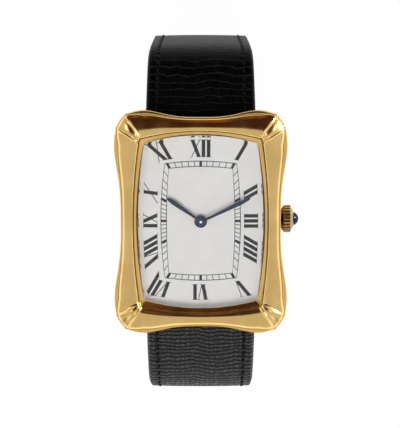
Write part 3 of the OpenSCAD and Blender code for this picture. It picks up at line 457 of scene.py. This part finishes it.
def stations():
    """Walks round the case and returns its outline, its opening, the crest height, the ridge's share
    and the rim's width. Each quarter has half a side bar, a cut corner and half an end bar, with the
    steps closer near the ridges. A ridge is a narrow bell, e to the minus (distance over its width) to
    the 1.6."""
    side = 1 - (1 - np.linspace(0, 1, SIDE_N)) ** 1.5
    end = (1 - (1 - np.linspace(0, 1, END_N)) ** 1.5)[::-1]
    cut = np.linspace(0, 1, CUT_N)
    cut = cut - np.sin(2 * np.pi * cut) / (2 * np.pi) * 0.7

    def quarter(on_side, on_cut, on_end):
        return np.concatenate([on_side, on_cut[1:-1], on_end])

    side_y, end_x = side * CUT_Y, end * CUT_X
    side_out = np.stack([swollen(WAIST_W, LOBE_W, side_y / LOBE_Y), side_y], -1)
    end_out = np.stack([end_x, swollen(WAIST_H, LOBE_H, end_x / LOBE_X)], -1)
    in_y, in_x = side * OPEN_CUT_Y, end * OPEN_CUT_X
    side_in = np.stack([bowed(OPEN_W, OPEN_SIDE_R, in_y), in_y], -1)
    end_in = np.stack([in_x, bowed(OPEN_H, OPEN_END_R, in_x)], -1)
    span = end_out[0] - side_out[-1]
    length = np.linalg.norm(span)
    bulge = np.array([span[1], -span[0]]) / length * CUT_BULGE
    cut_out = side_out[-1] + span * cut[:, None] + bulge * np.sin(np.pi * cut)[:, None]
    cut_in = side_in[-1] + (end_in[0] - side_in[-1]) * cut[:, None]

    crest = quarter(BAR_H + (BAR_END_H - BAR_H) * side ** 2,
                    BAR_END_H + (FACET_H - BAR_END_H) * 4 * cut * (1 - cut),
                    BAR_H + (BAR_END_H - BAR_H) * end ** 2)
    away = quarter((1 - side) * CUT_Y, np.minimum(cut, 1 - cut) * length, (1 - end) * CUT_X)
    rim = quarter(swollen(RIM_W, RIM_LOBE_W, side_y / LOBE_Y), np.full(CUT_N, RIM_CUT_W),
                  swollen(RIM_W, RIM_LOBE_W, end_x / LOBE_X))
    rim = RIM_CUT_W + (rim - RIM_CUT_W) * np.minimum(1, away / RIM_EASE)

    def round_case(q, back, flip):
        return np.concatenate([q, (q[::-1] * back)[1:-1], q * flip, (q[::-1] * back * flip)[1:-1]])

    return (round_case(quarter(side_out, cut_out, end_out), (-1, 1), (-1, -1)),
            round_case(quarter(side_in, cut_in, end_in), (-1, 1), (-1, -1)),
            *(round_case(q, 1, 1) for q in (crest, np.exp(-(away / RIDGE_W) ** 1.6), rim)))


OUT, INN, CREST, RIDGE, RIM = stations()


def opening(d):
    """The opening's outline grown by d on every side."""
    return INN * (1 + d / np.array([OPEN_W, OPEN_H]))


def level(plan, z):
    """Points of a plan at one height or at a height each."""
    return np.concatenate([plan, np.broadcast_to(z, len(plan))[:, None]], -1)


# The bezel's section in rows: the lip by shares of its width and heights over the seat, the rim's edge
# by shares of its rounding and the flank by distances in, both with heights over the rim
LIP_ROWS = ((0.0, 0.8), (0.04, 0.85), (0.5, 0.97), (0.93, 1.06))
EDGE_ROWS = ((1, 0.0), (0.6, -0.03), (0.3, -0.1), (0.1, -0.2), (0.0, -0.35), (0.0, -0.6))
FLANK_ROWS = ((0.05, -1.0), (0.13, -1.5), (0.3, -2.1), (0.55, -2.7))
BAR_FOOT, BAR_ROWS = 1.1, 49         # the bars' height at the lip, and how many rows cross them
POINT, EDGE_R = 0.09, 0.2            # how far a ridge's point stands out, and the rounding's width


def make_bezel():
    """The bezel: at each station a lip slopes up from the opening, a round-backed bar rises from it to
    its crest and falls to a thin groove, and a flat rim rounds over into the flank. The ridges stand
    on the bars' backs and end as small points on the outline."""
    inward = (INN - OUT) / np.linalg.norm(INN - OUT, axis=1)[:, None]

    def from_edge(distance, z):
        return level(OUT + inward * np.reshape(distance, (-1, 1)), SEAT + RIM_H + z)

    root, foot = opening(LIP_W), OUT + inward * RIM[:, None]
    across = (1 - np.cos(np.pi * np.linspace(0, 1, BAR_ROWS))) / 2
    back = (1 - (2 * across ** 0.63 - 1) ** 2) ** 0.7
    rows = [level(opening(LIP_W * share), SEAT + z) for share, z in LIP_ROWS]
    rows.append(level(opening(LIP_W - 0.02), SEAT + 1.02))
    for share, lift in zip(across, back):
        base = BAR_FOOT + (RIM_H + 0.04 - BAR_FOOT) * share
        rows.append(level(root + (foot - root) * share,
                          SEAT + base + (CREST - base) * lift + RIDGE * RIDGE_H * lift))
    point = RIDGE * POINT
    rows += [from_edge(RIM - 0.03, -0.05), from_edge(RIM - 0.07, point)]
    rounding = np.minimum(EDGE_R, RIM - 0.08)
    rows += [from_edge(rounding * share - point, z) for share, z in EDGE_ROWS]
    rows += [from_edge(distance, z) for distance, z in FLANK_ROWS]
    rows += [level(opening(RING_OUT), RING_FOOT), level(opening(RING_OUT), LEDGE), level(INN, LEDGE)]
    rings = np.stack(rows)
    points = rings.reshape(-1, 3)
    faces = turned_out(points, grid_faces(len(rings), len(INN), True, True))
    put("bamboo_bezel", points, faces, GOLD, "watch", "bezel", crease=28)


CRYSTAL_FOOT, CRYSTAL_TOP, CRYSTAL_GAP, DOME_R = SEAT + 0.85, SEAT + 2.05, 0.05, 160
# How far in from the opening, and how far below the dome
CRYSTAL_BEVEL = ((0.05, 0.45), (0.09, 0.3), (0.16, 0.15), (0.26, 0.05), (0.4, 0.0))


def make_crystal():
    """The crystal: flat under, a short wall, a rounded bevel and a domed top whose height falls with
    the square of the distance from the middle."""
    def dome(plan, drop=0.0):
        return level(plan, CRYSTAL_TOP - (plan ** 2).sum(1) / (2 * DOME_R) - drop)

    under, wall = opening(-0.2), opening(-CRYSTAL_GAP)
    rings = [level(under * share, CRYSTAL_FOOT) for share in (0.12, 0.4, 0.7, 0.95, 1)]
    rings.append(level(wall, CRYSTAL_FOOT - 0.01))
    rings += [dome(opening(-inset), drop) for inset, drop in CRYSTAL_BEVEL]
    rings += [dome(wall * share) for share in (0.95, 0.89, 0.82, 0.72, 0.6, 0.48, 0.36, 0.24, 0.12)]
    points, faces = capped_stack(np.stack(rings)[:, ::3])
    put("crystal_dome", points, turned_out(points, faces), GLASS, "watch", "crystal",
        crease=40)


# The dial's print

def bowed_frame(half_w, half_h, bow_side, bow_end, middle=0.0):
    """A test of points that is true inside a bowed frame: |x| under half_w less bow_side y squared and
    |y| under half_h less bow_end x squared, with y from the frame's middle."""
    def inside(p):
        x, y = p[..., 0], p[..., 1] - middle
        return ((np.abs(x) < half_w - bow_side * y ** 2)
                & (np.abs(y) < half_h - bow_end * x ** 2))
    return inside


INNER_BAND = bowed_frame(7.02, 10.49, 0.0034, 0.0148)
OUTER_BAND = bowed_frame(9.3, 13.18, 0.0040, 0.0110, 0.1)
OUTER_TRACK = bowed_frame(6.5, 9.88, 0.0075, 0.0131)
INNER_TRACK = bowed_frame(5.6, 9.01, 0.0054, 0.0129)

# Strokes of a letter: where each starts and ends across the hour's own ray, and how thick it is
THICK, THIN = 0.56, 0.12
GLYPHS = {
    "I": [(0.0, 0.0, THICK)],
    "V": [(-0.05, -0.55, THICK), (0.12, 0.66, THIN)],
    "X": [(0.52, -0.54, THICK), (-0.68, 0.62, THIN)],
}
# Letters of each hour, and where they stand across its ray
HOURS = {
    12: [("X", -0.79), ("I", 0.45), ("I", 1.28)],
    1: [("I", 0.0)],
    2: [("I", -0.42), ("I", 0.42)],
    3: [("I", -0.84), ("I", 0.0), ("I", 0.84)],
    4: [("I", -1.26), ("I", -0.42), ("I", 0.42), ("I", 1.26)],
    5: [("V", -0.1)],
    6: [("V", -0.3), ("I", 0.92)],
    7: [("V", -0.5), ("I", 0.66), ("I", 1.5)],
    8: [("V", -1.32), ("I", -0.3), ("I", 0.54), ("I", 1.38)],
    9: [("I", -0.78), ("X", 0.45)],
    10: [("X", 0.0)],
    11: [("X", -0.38), ("I", 0.86)],
}
SERIF_T, SERIF_THICK, SERIF_THIN = 0.07, 0.16, 0.2    # a serif's own width and its way past a stroke


def reach(start, way, inside):
    """How far along each ray its last point inside the frame lies."""
    s = np.linspace(0, 20, 8001)
    p = start[:, None] + way[:, None] * s[None, :, None]
    return s[len(s) - 1 - np.argmax(inside(p)[:, ::-1], axis=1)]


def clock_rays(degrees):
    """Directions on the dial, clockwise from twelve o'clock."""
    a = np.radians(degrees)
    return np.stack([np.sin(a), np.cos(a)], -1)


def stroke_quads():
    """Every stroke of the numerals as four corners on the dial. A stroke runs from the inner band to
    the outer band, and its ends are cut along the bands; a serif is a thin foot along the band at each
    end."""
    quads = []
    for hour, letters in HOURS.items():
        out = clock_rays(hour * 30)
        side = np.array([out[1], -out[0]])
        near, far = (reach(np.zeros((1, 2)), out[None], band)[0] for band in (INNER_BAND, OUTER_BAND))
        for letter, at in letters:
            for start, end, thick in GLYPHS[letter]:
                p0 = out * near + side * (at + start)
                p1 = out * far + side * (at + end)
                way = (p1 - p0) / np.linalg.norm(p1 - p0)
                edges = np.array([-1, 1])[:, None] * np.array([way[1], -way[0]]) * thick / 2
                base = p0 - way * 6 + edges
                ways = np.repeat(way[None], 2, 0)
                low, high = (base + ways * reach(base, ways, band)[:, None]
                             for band in (INNER_BAND, OUTER_BAND))
                quads.append([low[0], low[1], high[1], high[0]])
                for pair, turn in ((low, way), (high, -way)):
                    along = (pair[1] - pair[0]) / np.linalg.norm(pair[1] - pair[0])
                    spread = SERIF_THICK if thick == THICK else SERIF_THIN
                    tips = [pair[0] - along * spread, pair[1] + along * spread]
                    quads.append([*tips, tips[1] + turn * SERIF_T, tips[0] + turn * SERIF_T])
    return np.array(quads)


def track_quads():
    """Two bowed frames and sixty ticks between them, each tick on its own ray from the hands' centre."""
    quads = []
    rays = clock_rays(np.arange(0, 360, 0.75))
    for inside, width in ((OUTER_TRACK, 0.125), (INNER_TRACK, 0.115)):
        r = reach(np.zeros_like(rays), rays, inside)
        line, inner = rays * r[:, None], rays * (r - width)[:, None]
        quads.append(np.stack([line, np.roll(line, -1, 0), np.roll(inner, -1, 0), inner], 1))
    minute = np.arange(60)
    way = clock_rays(minute * 6)
    width = np.where(minute % 5 == 0, 0.42, 0.11)
    half = np.stack([way[:, 1], -way[:, 0]], -1) * (width / 2)[:, None]
    low, high = (way * reach(np.zeros_like(way), way, band)[:, None]
                 for band in (INNER_TRACK, OUTER_TRACK))
    quads.append(np.stack([low - half, low + half, high + half, high - half], 1))
    return np.concatenate(quads)


def put_print(name, quads, height):
    """Thin four-sided plates (n, 4, 2) from just over the dial to height over it, as one mesh."""
    n = len(quads)
    area = np.cross(quads[:, 1] - quads[:, 0], quads[:, 2] - quads[:, 0])
    quads = np.where(area[:, None, None] < 0, quads[:, ::-1], quads)
    z = np.zeros((n, 4, 1))
    points = np.concatenate([np.concatenate([quads, z + (DIAL_TOP + over)], -1)
                             for over in (0.002, height)], 1)
    one = np.array([[3, 2, 1, 0], [4, 5, 6, 7], [0, 1, 5, 4], [1, 2, 6, 5], [2, 3, 7, 6], [3, 0, 4, 7]])
    faces = (one[None] + 8 * np.arange(n)[:, None, None]).reshape(-1, 4)
    put(name, points.reshape(-1, 3), faces, INK, "watch", crease=10)


# The strap. A run is the middle line of the leather in Y and Z, from its spring bar

BAR_Y, BAR_Z = 16.05, 47.35                     # the spring bars
OUT_12, OUT_6, WIDEST_Z = 26.35, 28.95, 29.7    # how far the halves bend out, and at what height
LINING_Z, LOW_Z, TAIL_Z = 4.0, 3.0, 1.9         # the runs over the table
LAP_GAP = 2.1                                   # from the upper layer to the tail that laps it
STRAP_W, STRAP_END_W, TAPER = 18, 16, 28        # whole widths, and the way from one to the other
STRAP_T, BAR_R, PIN_R, TIP_R = 2.7, 1.33, 1.03, 6.5
CHANNEL_IN, STITCH_PITCH = 1.7, 1.15


def bezier(a, b, c, d, n=60):
    """n points of a cubic curve with its two ends a and d and its two handles b and c."""
    t = np.linspace(0, 1, n)[:, None]
    a, b, c, d = (np.array(v, float) for v in (a, b, c, d))
    return (1 - t) ** 3 * a + 3 * (1 - t) ** 2 * t * b + 3 * (1 - t) * t ** 2 * c + t ** 3 * d


def unit_tangent(path):
    """The way along a path at each point, one long."""
    tangent = np.gradient(path, axis=0)
    return tangent / np.linalg.norm(tangent, axis=1)[:, None]


def turned_left(tangent):
    """The same ways turned a quarter to the left."""
    return np.stack([-tangent[:, 1], tangent[:, 0]], -1)


def strap_runs():
    """The two halves: each leaves its spring bar, bends down and comes in under the wrist. The twelve
    o'clock half ends at the buckle, the other passes under it and laps round its bend."""
    bend_z, handle_z = BAR_Z - 9, WIDEST_Z - 14
    bend = bezier([OUT_12, bend_z], [OUT_12, handle_z], [23, LINING_Z], [13, LINING_Z])
    run_12 = [[[BAR_Y - 1.29, BAR_Z]],
              bezier([BAR_Y, BAR_Z], [BAR_Y + 8, BAR_Z - 0.3], [OUT_12, BAR_Z - 0.8], [OUT_12, bend_z]),
              bend[1:],
              [[-5, LINING_Z], [-5.99, LINING_Z]]]
    lap = bend + LAP_GAP * turned_left(unit_tangent(bend))
    run_6 = [[[-BAR_Y + 1.29, BAR_Z]],
             bezier([-BAR_Y, BAR_Z], [-BAR_Y - 9, BAR_Z - 0.3], [-OUT_6, BAR_Z - 0.8], [-OUT_6, bend_z]),
             bezier([-OUT_6, bend_z], [-OUT_6, handle_z], [-26, LOW_Z], [-15, LOW_Z])[1:],
             [[-13.6, LOW_Z], [-12, 2.9], [-7, 2.15], [-5, TAIL_Z], [0, TAIL_Z], [6, TAIL_Z]],
             lap[::-1][:24]]
    return np.concatenate(run_12), np.concatenate(run_6)


def even(run, step, soften):
    """The same curve with points every step, after its corners are rounded by a sliding mean."""
    size = np.concatenate([[0], np.cumsum(np.linalg.norm(np.diff(run, axis=0), axis=1))])
    s = np.linspace(0, size[-1], int(size[-1] / step) + 1)
    fine = np.stack([np.interp(s, size, run[:, k]) for k in range(run.shape[1])], -1)
    for _ in range(soften):
        fine[1:-1] = (fine[:-2] + 2 * fine[1:-1] + fine[2:]) / 4
    return fine, s


def rounded(distance, r):
    """A quarter circle's rise from 0 to 1 over the distance r from an end."""
    return np.sqrt(np.clip(1 - (1 - np.minimum(1, distance / r)) ** 2, 0, 1))


def strap_sizes(s, t_end, pointed):
    """Width and thickness along a half: it tapers, rounds over at its spring bar and, if pointed,
    draws in to its tip; otherwise it rounds over at the buckle's pin too."""
    left = s[-1] - s
    width = STRAP_W + (STRAP_END_W - STRAP_W) * np.minimum(1, s / TAPER)
    thick = STRAP_T + (t_end - STRAP_T) * np.minimum(1, s / s[-1] * 1.6)
    thick = thick * rounded(s + 0.03, BAR_R)
    if pointed:
        width = width * (0.12 + 0.88 * rounded(left, TIP_R))
        thick = thick * (0.55 + 0.45 * np.minimum(1, left / 1.2))
    else:
        thick = thick * rounded(left + 0.02, PIN_R)
    return width, thick


def strap_surface(q, width, thick):
    """Height of the outer face over the middle of the leather at distance q from the centre line: a low
    crown, a stitched channel in from each edge and a rolled edge."""
    out = np.abs(q) / (width / 2)
    crown = thick * (0.46 - 0.06 * out ** 2)
    channel = 0.16 * np.exp(-(((width / 2 - CHANNEL_IN) - np.abs(q)) / 0.22) ** 2)
    roll = 0.36 * thick * np.clip((out - 0.93) / 0.07, 0, 1) ** 2.2
    return crown - channel * np.minimum(1, thick) - roll


def cut_away(piece, box, rods):
    """Cuts a box, its low and its high corner, and upright rods (x, y, r, low z, high z), all in
    millimetres, out of a piece."""
    work = bmesh.new()
    low, high = (np.array(corner) * MM for corner in box)
    made = bmesh.ops.create_cube(work, size=1.0)["verts"]
    bmesh.ops.scale(work, vec=high - low, verts=made)
    bmesh.ops.translate(work, vec=(low + high) / 2, verts=made)
    for x, y, r, low, high in rods:
        made = bmesh.ops.create_cone(work, cap_ends=True, segments=28, radius1=r * MM, radius2=r * MM,
                                     depth=(high - low) * MM)["verts"]
        bmesh.ops.translate(work, vec=(x * MM, y * MM, (low + high) / 2 * MM), verts=made)
    mesh = bpy.data.meshes.new("cutter")
    work.to_mesh(mesh)
    work.free()
    cutter = bpy.data.objects.new("cutter", mesh)
    scene.collection.objects.link(cutter)
    change = piece.modifiers.new("cut", "BOOLEAN")
    change.operation = "DIFFERENCE"
    change.solver = "MANIFOLD"
    change.object = cutter
    bpy.context.view_layer.update()
    shown = piece.evaluated_get(bpy.context.evaluated_depsgraph_get())
    done = bpy.data.meshes.new_from_object(shown)
    piece.modifiers.remove(change)
    piece.data = done
    done.set_sharp_from_angle(angle=math.radians(32))
    bpy.data.objects.remove(cutter)
    bpy.data.meshes.remove(mesh)


def make_strap(name, run, side, t_end, pointed, look, replaced, box, rods=()):
    """One half as rings round its section, carried along its run, with its holes cut and its stitches
    laid. side is +1 where the outer face is to the left of the run."""
    path, s = even(run, 0.42, 3)
    tangent = unit_tangent(path)
    normal = side * turned_left(tangent)
    width, thick = strap_sizes(s, t_end, pointed)
    v = np.linspace(-1, 1, 61)
    v = np.sign(v) * (1 - (1 - np.abs(v)) ** 1.35)
    half, t = width[:, None] / 2, thick[:, None]
    q_out, q_low = v[None, :] * half, v[::-1][None, 3:-3] * half
    edge = np.clip((np.abs(q_low) / half - 0.95) / 0.05, 0, 1)
    q = np.concatenate([q_out, q_low], 1)
    h = np.concatenate([strap_surface(q_out, width[:, None], t), -t / 2 * (1 - 0.25 * edge ** 2)], 1)
    rings = np.stack([q, path[:, :1] + normal[:, :1] * h, path[:, 1:] + normal[:, 1:] * h], -1)
    uv = np.stack([q * MM, np.broadcast_to(s[:, None], q.shape) * MM], -1)
    uv = np.concatenate([uv.reshape(-1, 2), [[0, 0], [0, s[-1] * MM]]])
    points, faces = capped_stack(rings)
    piece = put(name, points, turned_out(points, faces), look, "watch", replaced, uv)
    cut_away(piece, box, rods)
    at = np.arange(2.2, s[-1] - (7.5 if pointed else 3.0), STITCH_PITCH)
    put_stitches(name + "_stitches", *(np.interp(at, s, line)[:, None, None] for line in (
        *path.T, *normal.T, *tangent.T, width, thick)))


def put_stitches(name, y, z, ny, nz, ty, tz, width, thick):
    """Short rounded stitches in both channels, from the run's point, normal and tangent and the strap's
    sizes at each: an ellipsoid of eight by six points laid along the run."""
    a = np.linspace(0, np.pi, 8)[None, :, None]
    b = np.linspace(0, 2 * np.pi, 7)[None, None, :-1]
    size = np.sin(a) ** 0.7
    forth = -0.46 * np.cos(a) + 0 * b
    sets = []
    for sign in (-1, 1):
        q = sign * (width / 2 - CHANNEL_IN)
        x = q + 0.21 * size * np.cos(b) + 0.16 * np.cos(a)
        lift = strap_surface(q, width, thick) + 0.08 + 0.2 * size * np.sin(b)
        sets.append(np.stack([x, y + ty * forth + ny * lift, z + tz * forth + nz * lift], -1))
    grid = np.concatenate(sets)
    one = turned_out(grid[0].reshape(-1, 3), grid_faces(8, 6, ring_cols=True))
    faces = (one[None] + 48 * np.arange(len(grid))[:, None, None]).reshape(-1, 4)
    put(name, grid.reshape(-1, 3), faces, THREAD, "watch", crease=60, merge=True)


def round_path(half_w, low, high, r, n_side=14, n_corner=8):
    """A rounded rectangle in X and Z, as points that match on every such rectangle."""
    arcs = []
    for turn, (x, z) in enumerate(((half_w - r, high - r), (r - half_w, high - r),
                                   (r - half_w, low + r), (half_w - r, low + r))):
        a = np.radians(90 * turn + np.linspace(0, 90, n_corner))
        arcs.append(np.stack([x + r * np.cos(a), z + r * np.sin(a)], -1))
    t = np.linspace(0, 1, n_side + 1)[1:-1, None]
    sides = [arc[-1] + (after[0] - arc[-1]) * t for arc, after in zip(arcs, arcs[1:] + arcs[:1])]
    return np.concatenate([part for pair in zip(arcs, sides) for part in pair])


def make_keeper(name, y, body, replaced):
    """A leather band round both layers of the strap: inner and outer rounded rectangles joined by a
    section with rolled edges and a low crown."""
    inner, outer = round_path(8.2, 0.9, 5.2, 0.25), round_path(9.1, 0.0, 6.1, 0.9)
    v = np.linspace(-1, 1, 15)
    top = 0.86 + 0.14 * (1 - v ** 2) - 0.3 * np.clip((np.abs(v) - 0.86) / 0.14, 0, 1) ** 2
    plan = inner + (outer - inner) * np.concatenate([top, 0 * v])[:, None, None]
    along = np.broadcast_to(np.concatenate([v * 2.3, v[::-1] * 2.28])[:, None], plan.shape[:2])
    points = np.stack([plan[..., 0], y + along, plan[..., 1]], -1).reshape(-1, 3)
    size = np.concatenate([[0], np.cumsum(np.linalg.norm(np.diff(outer, axis=0), axis=1))])
    uv = np.stack([np.broadcast_to(size, along.shape) * MM, along * MM], -1).reshape(-1, 2)
    faces = turned_out(points, grid_faces(*along.shape, True, True))
    put(name, points, faces, LIT_LEATHER, body, replaced, uv)


make_bezel()
make_crystal()
put_print("dial_numerals", stroke_quads(), 0.016)
put_print("minute_track", track_quads(), 0.014)
run_12, run_6 = strap_runs()
make_strap("strap_upper", run_12, 1, 2.1, False, SHADED_LONG_ROW_LEATHER, "strap_twelve",
           ((-0.9, -8, 1), (0.9, -3.7, 7)))
make_strap("strap_lower", run_6, -1, 1.8, True, LIT_LEATHER, "strap_six",
           ((-0.95, -7.75, 0), (0.95, -4.85, 5)), [(0, y, 0.95, 0, 4) for y in (-1.6, 4.4, 10.4)])
make_keeper("keeper_band_fixed", 0, "watch", "fixed_keeper")
make_keeper("keeper_band_sliding", 8, "sliding_keeper_body", "sliding_keeper")

softened("case_body", "case_middle", GOLD, "watch", 0.12)
softened("back_plate", "case_back", GOLD_BACK, "watch", 0.1)
softened("back_screw_heads", "back_screws", STEEL, "watch", 0.03)
softened("crown_knob", "crown", SHADED_FLUTE_GOLD, "crown_body", 0.03, 40)
softened("buckle_bow", "buckle_frame", GOLD, "watch", 0.16)
softened("buckle_tang", "tang", GOLD, "tang_body", 0.1)

for finish, names in (
        (RUBBER, ["back_gasket"]), (GASKET, ["crystal_gasket"]), (DIAL, ["dial"]),
        (STONE, ["crown_stone"]), (GOLD, ["crown_tube"]), (PINION_STEEL_PAINTED_DOT, ["cannon_pinion"]),
        (BLUED, ["minute_hand", "hour_hand", "hairspring"]),
        (STEEL, ["winding_stem", "winding_pinion", "escape_wheel", "pallet_fork", "spring_bars",
                 "buckle_pin"]),
        (WHEEL, ["hour_wheel", "minute_wheel", "movement_ring", "mainspring_barrel", "centre_wheel",
                 "third_wheel", "fourth_wheel", "balance_wheel"]),
        (PLATE, ["main_plate", "barrel_bridge", "train_bridge", "balance_cock"])):
    for name in names:
        for slot in nodes[name].material_slots:
            slot.material = finish


# Floor, light and camera

def make_floor(half=4.0):
    """A pale floor that shows as white and still takes a faint shadow."""
    mesh = bpy.data.meshes.new("floor")
    mesh.from_pydata([(-half, -half, 0), (half, -half, 0), (half, half, 0), (-half, half, 0)], [],
                     [(0, 1, 2, 3)])
    made, tree, shader, coord = material("pale_floor", Roughness=0.7)
    cloud = noise(tree, coord["Object"], Scale=6.0, Detail=3.0)
    feed(tree, shader.inputs["Base Color"],
         mixed(tree, cloud, (0.80, 0.80, 0.80), (0.84, 0.84, 0.84)))
    path = node(tree, "ShaderNodeLightPath").outputs
    seen = math_node(tree, "MAXIMUM", path["Is Glossy Ray"], path["Is Transmission Ray"])
    seen = math_node(tree, "MAXIMUM", path["Is Camera Ray"], seen)
    white = node(tree, "ShaderNodeEmission", Color=(1, 1, 1, 1), Strength=1.04)
    blend_shaders(tree, product(tree, seen, 0.93), shader, white)
    mesh.materials.append(made)
    floor = bpy.data.objects.new("floor", mesh)
    scene.collection.objects.link(floor)


def make_sky():
    """A plain white studio with a dark brown curtain behind twelve o'clock, a window over each corner
    of the case and a dark stand beyond it, which the gold and the stone reflect. All are told by the
    direction they lie in."""
    world = bpy.data.worlds.new("studio")
    scene.world = world
    world.use_nodes = True
    tree = world.node_tree
    way = node(tree, "ShaderNodeTexCoord").outputs["Generated"]
    x, y, z = node(tree, "ShaderNodeSeparateXYZ", way).outputs
    aside = math_node(tree, "ABSOLUTE", x)

    # The walls, brighter low down, with the windows
    light = math_node(tree, "ADD", map_range(tree, z, 0.32, 0.05, 0.0, 0.85), 0.63)
    folded = node(tree, "ShaderNodeCombineXYZ", aside, y, z).outputs[0]
    for middle, power in (((0.52, 0.28, 0.807), 1.7), ((0.453, -0.553, 0.699), 0.6)):
        near = vector_node(tree, "DOT_PRODUCT", folded, middle)
        light = math_node(tree, "ADD", light, map_range(tree, near, 0.965, 0.99, 0.0, power))

    # The stands, on the diagonals
    uneven = math_node(tree, "SUBTRACT", aside, math_node(tree, "ABSOLUTE", y))
    stand = product(tree, map_range(tree, math_node(tree, "ABSOLUTE", uneven), 0.03, 0.2, 1.0, 0.0),
                    map_range(tree, aside, 0.34, 0.46, 0.0, 0.5))
    light = product(tree, light, math_node(tree, "SUBTRACT", 1.0, stand))

    # The curtain and its folds
    hung = product(tree, map_range(tree, y, -0.06, 0.03, 0.0, 1.0),
                   map_range(tree, aside, 0.36, 0.6, 1.0, 0.0), map_range(tree, z, 0.0, 0.08, 0.0, 1.0))
    spread = node(tree, "ShaderNodeMapping", Vector=way, Location=(0.6, 0, 0), Scale=(9.0, 1.2, 1.2))
    folds = noise(tree, spread.outputs[0], Scale=1.0, Detail=2.0, Roughness=0.5)
    curtain = mixed(tree, map_range(tree, folds, 0.5, 0.68, 0.0, 1.0),
                    (0.045, 0.020, 0.014), (0.30, 0.13, 0.07))
    back = tree.nodes["Background"]
    feed(tree, back.inputs["Color"], mixed(tree, hung, light, curtain))
    back.inputs["Strength"].default_value = 1.0


def softbox(name, at, aim, size, power, polished=()):
    """A large lamp that lights the watch, or one that only shows as a spot in the polished pieces."""
    data = bpy.data.lights.new(name, "AREA")
    data.shape = "RECTANGLE"
    data.size, data.size_y = size
    data.energy = power
    lamp = bpy.data.objects.new(name, data)
    scene.collection.objects.link(lamp)
    lamp.location = at
    lamp.rotation_euler = (Vector(aim) - Vector(at)).to_track_quat("-Z", "Y").to_euler()
    lamp.visible_glossy = bool(polished)
    lamp.visible_diffuse = lamp.visible_transmission = not polished
    lamp.visible_camera = False
    if polished:
        lit = bpy.data.collections.new(name)
        for piece in polished:
            lit.objects.link(bpy.data.objects[piece])
        lamp.light_linking.receiver_collection = lit


def make_camera(far=0.55, tilt=math.radians(10.8), view_w=0.065):
    """The dial from 550 mm, tilted 10.8 degrees towards twelve o'clock; 400 pixels span 65 mm there."""
    data = bpy.data.cameras.new("camera")
    data.sensor_fit = "HORIZONTAL"
    data.sensor_width = 36
    data.lens = 36 * far / view_w
    data.clip_start, data.clip_end = 0.05, 30
    camera = bpy.data.objects.new("camera", data)
    scene.collection.objects.link(camera)
    middle = Vector((-0.00011, 0.00110, DIAL_TOP * MM))
    camera.location = middle + Vector((0, math.sin(tilt), math.cos(tilt))) * far
    camera.rotation_euler = (-tilt, 0, 0)
    scene.camera = camera


make_floor()
make_sky()
softbox("top_box", (-0.1, -0.25, 0.75), (0, 0, 0.05), (0.6, 0.5), 1.5)
softbox("stone_box", (0.53, 0.19, 0.27), (0.015, 0, 0.05), (0.15, 0.15), 2.4,
        ("crown_stone", "crown_knob", "bamboo_bezel"))
make_camera()
scene.view_settings.view_transform = "Standard"
